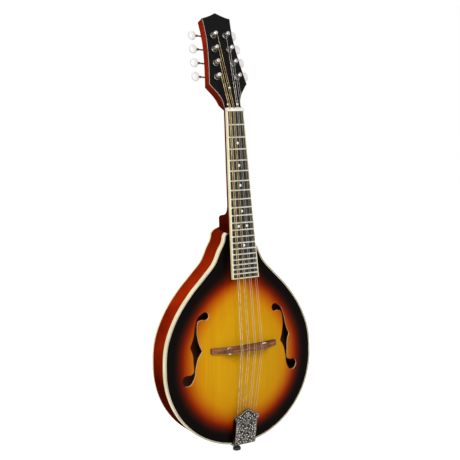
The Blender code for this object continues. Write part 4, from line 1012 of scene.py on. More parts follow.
@dataclass(frozen=True)
class Wound(Finish):
    """A string's winding of fine bronze wire."""

    colour: tuple = (204, 186, 142)
    worn: tuple = (146, 128, 92)
    pitch: float = 0.25

    def paint(self, graph: Graph) -> None:
        """Turns of wire across the string, by its own run.

        Args:
            graph: The material's nodes.
        """
        ridge = (graph.own("run_mm") * (TURN / self.pitch)).wave() * 0.5 + 0.5
        cloud = graph.noise(graph.place(), 150.0)
        colour = graph.mixed(graph.spread(cloud, 0.35, 0.75), tint(*self.colour), tint(*self.worn))
        # The colour is darker in the grooves between turns: painted shade.
        graph.surface(Base_Color=graph.toned(colour, ridge * 0.3 + 0.8), Metallic=1.0, Roughness=0.34,
                      Normal=graph.bump(ridge, 0.06 * MM, 0.5))


@dataclass(frozen=True)
class StudioWhite(Finish):
    """The floor: nearly white, lifted to white where the camera or a reflection sees it."""

    lift: float = 0.82

    def paint(self, graph: Graph) -> None:
        """A matt floor that keeps the object's shadow.

        Args:
            graph: The material's nodes.
        """
        colour = graph.mixed(graph.noise(graph.place(), 30.0), (0.86, 0.86, 0.86), (0.89, 0.89, 0.89))
        graph.surface(Base_Color=colour, Roughness=0.9, Specular_IOR_Level=0.0)
        glow, dark = [graph.node("Emission", {}, {"Color": (1.0, 1.0, 1.0), "Strength": strength})
                      for strength in (self.lift, 0.0)]
        lifted = graph.node("MixShader", {}, {0: graph.seen(), 1: dark, 2: glow})
        both = graph.node("AddShader", {}, {0: Wire(graph, graph.shader.outputs[0]), 1: lifted})
        graph.set(graph.tree.nodes["Material Output"].inputs["Surface"], both)


SPRUCE = Sunburst("sunburst", "spruce")
# The rim gets darker towards its bottom: painted shade, as the light falls from the upper left.
RIM_MAPLE = Maple("rim_maple", "maple", colour=(190, 48, 9), dark=(128, 24, 4), by_run=True,
                  fades=((-0.31, -0.2, 1.06, 0.56), (-0.42, -0.325, 0.22, 1.08)))
# The neck gets darker at its heel and lighter up the head's side: painted shade and painted light.
NECK_MAPLE = Maple("neck_maple", "maple", colour=(158, 38, 10), dark=(98, 20, 6), flame=0.7,
                   lean=PLAN.neck_tilt, fades=((-0.19, -0.12, 0.3, 0.6), (0.01, 0.045, 1.0, 2.0)))
BACK_MAPLE = BurstMaple("back_maple", "maple")
RAW = BareWood("bare_wood", "inner_wood")
LIP = CutEdge("hole_edge", "inner_wood")
EBONISED = Rosewood("board_rosewood", "rosewood", lean=PLAN.neck_tilt)
BRIDGE_WOOD = Rosewood("bridge_rosewood", "rosewood", light=(168, 112, 78), dark=(78, 42, 27), across=True)
CREAM = Celluloid("cream_binding", "cream", colour=(255, 246, 200))
# A greyer copy of the cream for the binding's front faces: painted shade, as the light falls on its sides.
CREAM_FACE_PAINTED_SHADE = Celluloid("cream_scraped", "cream", colour=(196, 190, 166), aged=(176, 169, 146))
BONE = Celluloid("bone_white", "bone", colour=(244, 242, 234), aged=(226, 220, 202))
BLACK = Lacquer("black_lacquer", "black")
PIN_BLACK = Lacquer("pin_black", "black", gloss=0.4)
# A pale strip round the head's face that stands for the lacquer's edge highlight: painted highlight.
EDGE_PAINTED_HIGHLIGHT = Celluloid("edge_line", "cream", colour=(214, 196, 180), aged=(190, 170, 152))
PEARL = Pearl("pearloid", "pearl")
DOT_PEARL = Pearl("pearl_dot", "pearl", size=700.0)
NICKEL = Metal("nickel_plate", "nickel")
DULL_NICKEL = Metal("nickel_back", "nickel", colour=(150, 150, 148), roughness=0.28)
CHASED = Metal("nickel_chased", "nickel", colour=(128, 122, 116), worn=(52, 49, 46), roughness=0.3)
BEAD_NICKEL = Metal("nickel_bead", "nickel", colour=(255, 252, 246), worn=(214, 208, 200), roughness=0.3)
SCROLL = Metal("nickel_scroll", "nickel", colour=(206, 200, 192), worn=(84, 80, 76), roughness=0.22)
ENGRAVED_GROUND_PAINTED_DARK = Engraved("nickel_ground", "nickel")
# Darkened, half-metallic nickel for the worm shafts: painted dark reflection.
SHAFT_NICKEL_PAINTED_DARK = Metal("nickel_shaft", "nickel", colour=(104, 104, 106), worn=(64, 64, 66),
                     roughness=0.35, bare=0.35)
# Darkened nickel for the bushings: painted dark reflection of the room and the black head.
COLLAR_PAINTED_DARK = Metal("nickel_collar", "nickel", colour=(112, 112, 111), worn=(70, 70, 69))
FRET_WIRE = Metal("fret_wire", "steel", colour=(214, 210, 202), worn=(186, 182, 172), roughness=0.24)
STEEL = Metal("plain_steel", "steel", colour=(190, 190, 190), worn=(150, 150, 150), roughness=0.3, drawn=True)
STRING_STEEL = Metal("string_steel", "steel", colour=(196, 192, 180), worn=(168, 162, 148),
                     roughness=0.3, drawn=True)
BRONZE = Wound("bronze_winding", "bronze")
DARK_BRONZE = Wound("bronze_winding_end", "bronze", colour=(184, 162, 116), worn=(118, 98, 66))
FLOOR = StudioWhite("studio_floor", "")


def dress(piece: Piece, finish: Finish, *stands_for: str, body: str | None = ROOT,
          extra: Sequence[Finish] = ()) -> Piece:
    """Give a piece its finish and its body.

    Args:
        piece: The finished mesh.
        finish: Its main finish.
        stands_for: The CAD nodes that it replaces.
        body: The CAD body that it rides on, or None for a piece that rides on no body.
        extra: More finishes, for faces that already hold their numbers.

    Returns:
        The piece.
    """
    if not extra:
        piece.data.materials.clear()
        piece.data.materials.append(finish.material())
    if body:
        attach(piece, body)
    if stands_for:
        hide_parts(*stands_for)
    LOG.info("%s: %d faces, finish %s", piece.name, len(piece.data.polygons), finish.name)
    return piece


def write_values(piece: Piece, name: str, values: np.ndarray) -> None:
    """Keep one number for each corner of a piece, under a name that its finish reads."""
    layer = piece.data.attributes.new(name, "FLOAT", "POINT")
    layer.data.foreach_set("value", np.asarray(values, np.float32))


def corners(piece: Piece) -> np.ndarray:
    """The places of a piece's corners."""
    return np.array([v.co for v in piece.data.vertices], float).reshape(-1, 3)


@dataclass
class BodyShape:
    """The body's edge, seen from the front, and the arch of its plates."""

    width: float = 253.4 * MM
    widest_below: float = 205.0 * MM
    lower_radius: float = 128.0 * MM
    top: float = 0.5 * MM
    crown_half: float = 24.9 * MM
    crown_rise: float = 12.3 * MM
    shoulder: tuple = ((0.966, 0.211), (0.819, 0.402), (0.561, 0.590), (0.340, 0.709), (0.169, 0.808),
                       (0.091, 0.893))
    steps: tuple[int, int, int] = (12, 66, 44)
    arch_centre: float = 195.0 * MM
    arch_top: float = 13.0 * MM
    plate_inset: float = 2.9 * MM

    def __post_init__(self) -> None:
        """Work out the edge once."""
        self.half = self._half()
        self.plate = self.edge(self.plate_inset)
        centre = np.array([0.0, -self.arch_centre])
        spokes = np.array(self.plate) - centre
        turns = np.arctan2(spokes[:, 1], spokes[:, 0])
        order = np.argsort(turns)
        self._turns = turns[order]
        self._reach = np.hypot(spokes[:, 0], spokes[:, 1])[order]

    def _half(self) -> list[Vector]:
        """The treble half of the edge, from the heel down to the end.

        Returns:
            Its points.
        """
        half, base = self.width / 2.0, self.top - self.crown_rise
        height = base + self.widest_below
        knots = [(half, -self.widest_below)]
        for share_x, share_z in self.shoulder:
            knots.append((self.crown_half + share_x * (half - self.crown_half),
                          share_z * height - self.widest_below))
        knots.append((self.crown_half, base))
        crown_steps, shoulder_steps, lower_steps = self.steps
        shoulder = smooth_curve(knots, shoulder_steps, first=(0.0, 1.0), last=(0.0, 1.0))
        quarter = [0.5 * pi * step / crown_steps for step in range(1, crown_steps + 1)]
        crown = [Vector((self.crown_half * cos(a), base + self.crown_rise * sin(a))) for a in quarter]
        turns = [0.5 * pi * step / lower_steps for step in range(1, lower_steps + 1)]
        lower = [Vector((half * cos(a), -self.widest_below - self.lower_radius * sin(a))) for a in turns]
        return crown[::-1] + shoulder[::-1] + lower

    def edge(self, inset: float) -> list[Pair]:
        """The whole edge, moved inwards: down the treble side and up the bass side.

        Args:
            inset: How far inwards.

        Returns:
            Its points, as x and z.
        """
        points = []
        last = len(self.half) - 1
        for index, point in enumerate(self.half):
            before = self.half[max(index - 1, 0)]
            after = self.half[min(index + 1, last)]
            along = (after - before).normalized()
            moved = point + Vector((along.y, -along.x)) * inset
            if index in (0, last):
                moved.x = 0.0
            points.append((moved.x, moved.y))
        return points + [(-x, z) for x, z in reversed(points[1:-1])]

    def share(self, x: np.ndarray, z: np.ndarray) -> np.ndarray:
        """How far places lie from the arch's centre, as shares of the way to the edge.

        Args:
            x: How far across they lie.
            z: How far up they lie.

        Returns:
            Shares from 0 to 1.
        """
        z = z + self.arch_centre
        reach = np.interp(np.arctan2(z, x), self._turns, self._reach, period=TURN)
        return np.minimum(np.hypot(x, z) / reach, 1.0)

    def height(self, x: float, z: float) -> float:
        """How far the soundboard's face stands in front of the rim plane."""
        share = self.share(np.array([x]), np.array([z]))[0]
        return self.arch_top * 0.5 * (1.0 + cos(pi * share))

    def sprayed(self, points: np.ndarray) -> np.ndarray:
        """The burst's distance in mm: the edge's, less round the board's end, with painted shade and light
        beside the board.

        Args:
            points: Places seen from the front.

        Returns:
            The distances.
        """
        x, z = points[:, 0] / MM, points[:, 1] / MM
        extra = 9.0 * np.exp(-((x / 40.0) ** 2) - ((z + 82.0) / 18.0) ** 2)
        # Painted shade and light beside the board: darker on the bass side, lighter on the treble side.
        painted_board_shade_and_light = 8.0 * x / 24.0 * np.exp(-((x / 30.0) ** 2) - ((z + 60.0) / 24.0) ** 2)
        return self.from_edge(points) / MM - extra + painted_board_shade_and_light

    def depth(self, points: np.ndarray, out: np.ndarray) -> np.ndarray:
        """How deep places lie under the soundboard's face, in mm.

        Args:
            points: Places seen from the front.
            out: How far in front of the rim plane they lie.

        Returns:
            The depths.
        """
        share = self.share(points[:, 0], points[:, 1])
        face = self.arch_top * 0.5 * (1.0 + np.cos(pi * share))
        return (face - out) / MM

    def from_edge(self, points: np.ndarray) -> np.ndarray:
        """The distance of each place, seen from the front, from the body's edge.

        Args:
            points: Places seen from the front.

        Returns:
            The distances.
        """
        edge = np.array(self.edge(0.0))
        after = np.roll(edge, -1, axis=0)
        nearest = np.full(len(points), 1.0)
        for start, end in zip(edge, after):
            run = end - start
            share = np.clip((points - start) @ run / (run @ run), 0.0, 1.0)
            gap = points - start - share[:, None] * run
            nearest = np.minimum(nearest, np.hypot(gap[:, 0], gap[:, 1]))
        return nearest


@dataclass
class SoundHoles:
    """The two f-holes, given on the treble side from the line between their nicks."""

    line_below: float = 177.0 * MM
    upper_eye: tuple = (60.5, 51.0, 6.1)
    lower_eye: tuple = (91.2, -43.3, 8.6)
    outer_nick: Pair = (86.4, 6.3)
    inner_nick: Pair = (67.6, -1.2)
    outer_upper: tuple = ((80.9, 20.5), (76.9, 38.8), (71.2, 51.4))
    inner_upper: tuple = ((70.8, 44.4), (74.0, 31.0), (71.8, 10.8))
    inner_lower: tuple = ((73.5, -10.6), (77.8, -25.4), (80.3, -41.2))
    outer_lower: tuple = ((83.6, -33.6), (82.0, -17.0), (82.9, -4.0))

    @staticmethod
    def _arc(eye: tuple, first: Pair, early: float, last: Pair, late: float) -> list[Pair]:
        """An eye's rim, clockwise from the bearing of one point to that of another.

        Args:
            eye: Its centre and radius.
            first: The point that it leaves.
            early: How much earlier it starts.
            last: The point that it goes to.
            late: How much later it ends.

        Returns:
            Its points.
        """
        start = atan2(first[1] - eye[1], first[0] - eye[0]) - early
        end = atan2(last[1] - eye[1], last[0] - eye[0]) + late
        while end > start:
            end -= TURN
        count = 30
        turns = [start + (end - start) * step / count for step in range(count + 1)]
        return [(eye[0] + eye[2] * cos(a), eye[1] + eye[2] * sin(a)) for a in turns]

    def outline(self, side: int) -> list[Pair]:
        """One hole's outline in the body's x and z.

        Args:
            side: -1 for bass or 1 for treble.

        Returns:
            Its points.
        """
        upper = self._arc(self.upper_eye, self.inner_upper[0], 0.5, self.outer_upper[-1], 0.9)
        lower = self._arc(self.lower_eye, self.outer_lower[0], 0.35, self.inner_lower[-1], 0.5)
        runs = ([self.outer_nick, *reversed(self.outer_lower), lower[0]],
                [lower[-1], *reversed(self.inner_lower), self.inner_nick],
                [self.inner_nick, *reversed(self.inner_upper), upper[0]],
                [upper[-1], *reversed(self.outer_upper), self.outer_nick])
        curves = [smooth_curve(run, 16) for run in runs]
        points = [*curves[0][:-1], *lower, *curves[1][1:], *curves[2][1:-1], *upper, *curves[3][1:-1]]
        return [(side * x * MM, z * MM - self.line_below) for x, z in points]


@dataclass
class Body:
    """Soundboard, back, rim and bindings; the wood inside keeps its CAD shapes."""

    shape: BodyShape = field(default_factory=BodyShape)
    holes: SoundHoles = field(default_factory=SoundHoles)
    rim_depth: float = 46.0 * MM
    rim_wall: float = 2.8 * MM
    plate_thick: float = 4.2 * MM
    arch_back: float = 11.0 * MM
    top_binding: float = 8.0 * MM
    back_binding: float = 4.5 * MM
    neck_gap: tuple = ((-9.0, 6.0), (9.0, 6.0), (10.4, -13.0), (-10.4, -13.0))
    shares: tuple = (1.0, 0.985, 0.96, 0.93, 0.9, 0.86, 0.81, 0.75, 0.68, 0.6, 0.52, 0.44,
                     0.36, 0.28, 0.2, 0.12, 0.04)

    def _ring(self, share: float, out: float) -> Ring:
        """The plates' edge at one level, drawn in towards the arch's centre.

        Args:
            share: How much of the way to the edge it lies.
            out: Its level, out of the rim plane.

        Returns:
            The ring.
        """
        centre = Vector((0.0, -self.shape.arch_centre))
        spots = [centre + (Vector(p) - centre) * share for p in self.shape.plate]
        return [BODY.point(spot.x, spot.y, out) for spot in spots]

    def _plate(self, name: str, front: float, height: float, sign: float, face: Finish) -> Piece:
        """An arched plate, lacquered on its face and bare inside.

        Args:
            name: The piece's name.
            front: Where its rim lies.
            height: How high it arches.
            sign: 1 for the top or -1 for the back.
            face: Its outer finish.

        Returns:
            The plate.
        """
        rings = []
        for under, shares in ((0.0, self.shares[::-1]), (self.plate_thick, self.shares)):
            for share in shares:
                arch = height * 0.5 * (1.0 + cos(pi * share))
                rings.append(self._ring(share, front + sign * (arch - under)))
        plate = loft(name, rings)
        for finish in (face, RAW):
            plate.data.materials.append(finish.material())
        for polygon in plate.data.polygons:
            polygon.material_index = int(sign * polygon.normal.dot(BODY.out) < 0.0)
        return plate

    def soundboard(self) -> None:
        """The carved top with its two f-holes, whose walls show bare wood."""
        board = self._plate("soundboard_top", 0.0, self.shape.arch_top, 1.0, SPRUCE)
        cutters = []
        for bank in Bank:
            cutter = slab(f"hole_cutter_{bank.word}", BODY, self.holes.outline(bank.value),
                          -2.0 * self.plate_thick, 2.0 * self.shape.arch_top)
            cutter.data.materials.append(LIP.material())
            cutters.append(cutter)
        carve(board, *cutters, keep_finish=True)
        shade(board, 40.0)
        spots = corners(board) - np.array(BODY.origin)
        flat = spots[:, [0, 2]]
        write_values(board, "edge_mm", self.shape.sprayed(flat))
        write_values(board, "depth_mm", self.shape.depth(flat, -spots[:, 1]))
        dress(board, SPRUCE, "soundboard", extra=[RAW, LIP])

    def back(self) -> None:
        """The arched back."""
        plate = self._plate("back_plate_arched", -self.rim_depth, self.arch_back, -1.0, BACK_MAPLE)
        shade(plate, 40.0)
        spots = corners(plate) - np.array(BODY.origin)
        write_values(plate, "edge_mm", self.shape.from_edge(spots[:, [0, 2]]) / MM)
        dress(plate, BACK_MAPLE, "back_plate", extra=[RAW])

    def _hoop(self, name: str, low: float, high: float, round_off: float = 0.0) -> Piece:
        """A closed strip of the rim's thickness that follows the body's edge.

        Args:
            name: The piece's name.
            low: Its back edge.
            high: Its front edge.
            round_off: How far its edges are rounded.

        Returns:
            The strip.
        """
        outer, inner = self.shape.edge(0.0), self.shape.edge(self.rim_wall)
        hoop = loft(name, [[BODY.point(x, z, out) for x, z in outline]
                           for outline, out in ((outer, low), (outer, high), (inner, high), (inner, low))],
                    capped=False, closed=True)
        if round_off:
            ease(hoop, round_off, 3, 50.0)
        return shade(hoop, 40.0)

    def _write_run(self, piece: Piece) -> None:
        """Keep each corner's distance round the edge and its depth, for the maple's grain.

        Args:
            piece: A strip that follows the edge.
        """
        edge = np.array(self.shape.edge(0.0))
        steps = np.hypot(*(np.roll(edge, -1, axis=0) - edge).T)
        arcs = np.concatenate([[0.0], np.cumsum(steps)[:-1]])
        spots = corners(piece) - np.array(BODY.origin)
        flat = spots[:, [0, 2]]
        nearest = np.array([np.argmin(np.hypot(*(edge - p).T)) for p in flat])
        run = np.stack([arcs[nearest], spots[:, 1], spots[:, 1]], axis=1)
        layer = piece.data.attributes.new("run", "FLOAT_VECTOR", "POINT")
        layer.data.foreach_set("vector", run.astype(np.float32).ravel())

    def rim(self) -> None:
        """The bent sides and the two bindings."""
        seam = 0.05 * MM
        low, high = self.back_binding - self.rim_depth + seam, -self.top_binding - seam
        rim = self._hoop("rim_sides", low, high)
        gap = [(x * MM, z * MM) for x, z in self.neck_gap]
        carve(rim, slab("rim_neck_cutter", BODY, gap, -41.0 * MM, -9.6 * MM))
        shade(rim, 40.0)
        self._write_run(rim)
        dress(rim, RIM_MAPLE, "rim")
        top = self._hoop("top_binding_strip", -self.top_binding, 0.0, round_off=0.7 * MM)
        top.data.materials.clear()
        for finish in (CREAM, CREAM_FACE_PAINTED_SHADE):
            top.data.materials.append(finish.material())
        # Faces that look out of the front take the greyer copy: painted shade on the binding's front face.
        for polygon in top.data.polygons:
            polygon.material_index = int(polygon.normal.dot(BODY.out) > 0.8)
        dress(top, CREAM, "top_binding", extra=[CREAM_FACE_PAINTED_SHADE])
        back = self._hoop("back_binding_strip", -self.rim_depth,
                          self.back_binding - self.rim_depth, round_off=0.7 * MM)
        dress(back, CREAM, "back_binding")

    def build(self, frame: dict) -> None:
        """Make every visible piece of the body, and finish the wood inside.

        Args:
            frame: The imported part, as loaded.
        """
        self.soundboard()
        self.back()
        self.rim()
        for name in ("top_lining", "back_lining", "neck_block", "tail_block", "tone_bar_bass",
                     "tone_bar_treble"):
            refinish(frame, name, RAW)


def refinish(frame: dict, name: str, finish: Finish) -> None:
    """Give a CAD node, whose own shape stays, a finish.

    Args:
        frame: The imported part, as loaded.
        name: The node's name.
        finish: Its finish.
    """
    node = frame["nodes"][name]
    node.data.materials.clear()
    node.data.materials.append(finish.material())
    LOG.info("%s keeps its CAD shape, finish %s", name, finish.name)


@dataclass
class HeadShape:
    """The head's outline, from above the nut to its pointed end."""

    length: float = 149.0 * MM
    apex: float = 9.0 * MM
    top_half: float = 23.7 * MM
    waist_half: float = 22.5 * MM
    waist_along: float = 118.0 * MM
    flare_half: float = 31.8 * MM
    flare_along: float = 43.5 * MM
    neckline: tuple = ((1.2, 18.0), (4.0, 25.0), (11.2, 35.5))

    def half_at(self, along: float) -> float:
        """Half the head's width above its flare.

        Args:
            along: The distance above the nut.

        Returns:
            Half the width.
        """
        if along < self.waist_along:
            share = (self.waist_along - along) / (self.waist_along - self.flare_along)
            return self.waist_half + (self.flare_half - self.waist_half) * share**1.45
        share = (along - self.waist_along) / (self.length - self.waist_along)
        return self.waist_half + (self.top_half - self.waist_half) * share**2

    def outline(self, start: float, inset: float = 0.0) -> list[Pair]:
        """The outline from a distance above the nut, treble side first, moved inwards.

        Args:
            start: Where it starts, above the nut.
            inset: How far inwards.

        Returns:
            Its points.
        """
        foot = PLAN.board_half(PLAN.nut_along)
        knots = [(foot + x * MM, along * MM) for x, along in self.neckline]
        half = smooth_curve([(foot, start), *knots, (self.flare_half, self.flare_along)], 22,
                            first=(0.0, 1.0))
        for step in range(1, 15):
            along = self.flare_along + (self.length - self.flare_along) * step / 14.0
            half.append(Vector((self.half_at(along), along)))
        for step in range(1, 13):
            share = 1.0 - step / 12.0
            half.append(Vector((self.top_half * share, self.length + self.apex * (1.0 - share) ** 1.4)))
        if inset:
            half = self._inset(half, inset)
        points = [(p.x, p.y) for p in half]
        return points + [(-x, along) for x, along in reversed(points[:-1])]

    @staticmethod
    def _inset(half: list[Vector], inset: float) -> list[Vector]:
        """Half an outline moved inwards, with its end kept on the centre line.

        Args:
            half: The half's points.
            inset: How far inwards.

        Returns:
            The moved points.
        """
        moved = []
        for index, point in enumerate(half):
            before = half[index - 1] if index else point - (half[1] - point)
            after = half[index + 1] if index < len(half) - 1 else Vector((-before.x, before.y))
            first, second = (point - before).normalized(), (after - point).normalized()
            bisector = (Vector((-first.y, first.x)) + Vector((-second.y, second.x))).normalized()
            width = max(bisector.dot(Vector((-first.y, first.x))), 0.5)
            moved.append(point + bisector * (inset / width))
        moved[0].y = half[0].y
        return moved


@dataclass
class Neck:
    """Shaft, heel and head core in one length of maple."""

    head: HeadShape = field(default_factory=HeadShape)
    depth_nut: float = 13.5 * MM
    depth_heel: float = 16.0 * MM
    heel_width: float = 42.0 * MM
    heel_block: float = 14.5 * MM
    heel_sweep: float = 20.0 * MM
    heel_back: float = 44.0 * MM
    heel_reach: float = 8.0 * MM
    overlay_thick: float = 1.5 * MM
    head_root: float = 15.0 * MM
    tenon: tuple = ((-7.0, 3.0), (7.0, 3.0), (10.0, -11.5), (-10.0, -11.5))
    nut_length: float = 5.5 * MM
    round_steps: int = 28
    fill_knots: tuple = ((0.0, 1.0), (0.1, 0.93), (0.19, 0.7), (0.3, 0.4), (0.5, 0.18),
                         (0.75, 0.06), (1.0, 0.0))

    def under(self, z: float) -> float:
        """How far the fretboard's underside lies behind the rim plane at a height."""
        along = (z + PLAN.board_thick * sin(NECK.tilt)) / cos(NECK.tilt)
        return (NECK.point(0.0, along, -PLAN.board_thick) - BODY.origin).y

    def _section(self, z: float, half: float, front: float, depth: float, fullness: float) -> Ring:
        """One level section: flat in front and rounded behind.

        Args:
            z: Its height.
            half: Half its width.
            front: How far back its flat face lies.
            depth: How deep it is.
            fullness: 1 for an ellipse, less for a squarer back.

        Returns:
            The section.
        """
        ring = []
        for step in range(self.round_steps + 1):
            angle = pi * step / self.round_steps
            side = cos(angle)
            x = half * copysign(abs(side) ** fullness, side)
            ring.append(BODY.point(x, z, -front - depth * sin(angle) ** fullness))
        return ring

    def _heel(self, top: float) -> list[Ring]:
        """Sections from inside the body up the heel and into the shaft.

        Args:
            top: Where the heel's straight part ends.

        Returns:
            The sections.
        """
        wide = 0.5 * self.heel_width
        rings = [self._section(z, wide, self.under(z), self.heel_back - self.under(z), 0.8)
                 for z in (-self.heel_reach, 0.0, top - 4.0 * MM, top)]
        fills = smooth_curve(self.fill_knots, 26)
        for share, fill in fills[1:]:
            z = top + self.heel_sweep * share
            shaft = self.under(z) + self.depth_heel
            fill = max(fill, 0.0)
            back = shaft + (self.heel_back - shaft) * fill
            half = PLAN.board_half(z / cos(NECK.tilt))
            half += (wide - half) * fill
            rings.append(self._section(z, half, self.under(z), back - self.under(z),
                                       0.8 + 0.12 * (1.0 - fill)))
        return rings

    def _shaft(self, low: float) -> list[Ring]:
        """Sections of the shaft above the heel, the last one inside the head.

        Args:
            low: Where the heel's last section lies.

        Returns:
            The sections.
        """
        nut = NECK.point(0.0, PLAN.nut_along + self.nut_length + PLAN.gap,
                         -PLAN.board_thick).z - BODY.origin.z
        rings = []
        for share in (0.15, 0.3, 0.45, 0.6, 0.8, 0.93, 1.0):
            z = low + (nut - low) * share
            depth = self.depth_heel + (self.depth_nut - self.depth_heel) * share
            half = PLAN.board_half(min(z / cos(NECK.tilt), PLAN.nut_along))
            rings.append(self._section(z, half, self.under(z), depth, 0.92))
        back = self.under(nut) + self.depth_nut
        root = HEAD.point(0.0, self.head_root, -self.overlay_thick) - BODY.origin
        deep = (HEAD.point(0.0, self.head_root, -PLAN.head_thick) - BODY.origin).y
        for share in (0.34, 0.67, 1.0):
            z = nut + (root.z - nut) * share
            front = (HEAD.point(0.0, self.head_root * share, -self.overlay_thick) - BODY.origin).y
            eased = share * share * (3.0 - 2.0 * share)
            end = back + (deep - 0.5 * MM - back) * eased
            rings.append(self._section(z, half, front, end - front, 0.92))
        return rings

    def build(self) -> None:
        """The neck with its head core, cut to the body's outline."""
        heel = self._heel(0.5 * MM + self.heel_block)
        low = heel[-1][0].z - BODY.origin.z
        neck = loft("neck_maple", heel + self._shaft(low))
        outline = BodyShape().edge(-0.05 * MM)
        carve(neck, slab("neck_body_cutter", BODY, outline, -2.0 * self.heel_back, self.heel_back))
        ends = ((0.5 * MM, -self.overlay_thick), (self.head_root, -PLAN.head_thick))
        core = loft("head_core", [[HEAD.point(x, along, out) for x, along in self.head.outline(start)]
                                  for start, out in ends])
        ease(core, 0.8 * MM, 2, 40.0)
        carve(neck, core, how="UNION")
        tenon = [(x * MM, z * MM) for x, z in self.tenon]
        carve(neck, slab("neck_tenon", BODY, tenon, -40.0 * MM, -10.0 * MM), how="UNION")
        bores = [rod(f"neck_bore_{t.label}", t.at(0.0, 0.0, -1.2 * PLAN.head_thick),
                     t.at(0.0, 0.0, 3.0 * MM), 3.35 * MM, 24) for t in TUNERS]
        carve(neck, joined("neck_bores", *bores))
        carve(neck, slab("neck_pocket", HEAD, ROD_POCKET, -9.2 * MM, 2.0 * MM))
        dress(shade(neck, 30.0), NECK_MAPLE, "neck")


def rod(name: str, start: Vector, end: Vector, radius: float, steps: int) -> Piece:
    """A plain round rod between two points.

    Args:
        name: The piece's name.
        start: One end.
        end: The other end.
        radius: Its radius.
        steps: How many points go round.

    Returns:
        The rod.
    """
    axis = (end - start).normalized()
    return lathe(name, start, axis, axis.orthogonal().normalized(),
                 [(0.0, radius), ((end - start).length, radius)], steps)


@dataclass(frozen=True)
class Tuner:
    """Where one post, its worm shaft and its knob stand."""

    bank: Bank
    number: int
    low_x: float = 17.2 * MM
    low_along: float = 54.6 * MM
    spacing: float = 22.2 * MM
    lean: float = radians(5.9)

    @property
    def label(self) -> str:
        """The end of its pieces' names."""
        return f"{self.bank.word}_{self.number + 1}"

    @property
    def up(self) -> Vector:
        """The direction along the bank of posts."""
        lean = -self.bank.value * self.lean
        return HEAD.along * cos(lean) + Vector((sin(lean), 0.0, 0.0))

    @property
    def outward(self) -> Vector:
        """The direction from the post to its knob."""
        side, lean = self.bank.value, -self.bank.value * self.lean
        return HEAD.along * (-side * sin(lean)) + Vector((side * cos(lean), 0.0, 0.0))

    @property
    def centre(self) -> Vector:
        """The post's axis at the head's face.

        Returns:
            The point.
        """
        side, lean = self.bank.value, -self.bank.value * self.lean
        reach = self.spacing * self.number
        return HEAD.point(side * self.low_x + sin(lean) * reach, self.low_along + cos(lean) * reach, 0.0)

    def at(self, outward: float, up: float, out: float) -> Vector:
        """A point measured from the post's centre on the head's face."""
        return self.centre + self.outward * outward + self.up * up + HEAD.out * out

    def matrix(self, up: float = 0.0, out: float = 0.0) -> Matrix:
        """The place of a piece that was made with X outward and Z out of the head.

        Args:
            up: A shift along the bank.
            out: A shift out of the head.

        Returns:
            The place.
        """
        across = self.up * self.bank.value
        place = Matrix((self.outward, across, HEAD.out)).transposed().to_4x4()
        place.translation = self.at(0.0, up, out)
        return place


TUNERS = [Tuner(bank, number) for bank in Bank for number in range(4)]
ROD_POCKET = oblong(-4.2 * MM, 4.2 * MM, 8.5 * MM, 24.0 * MM)


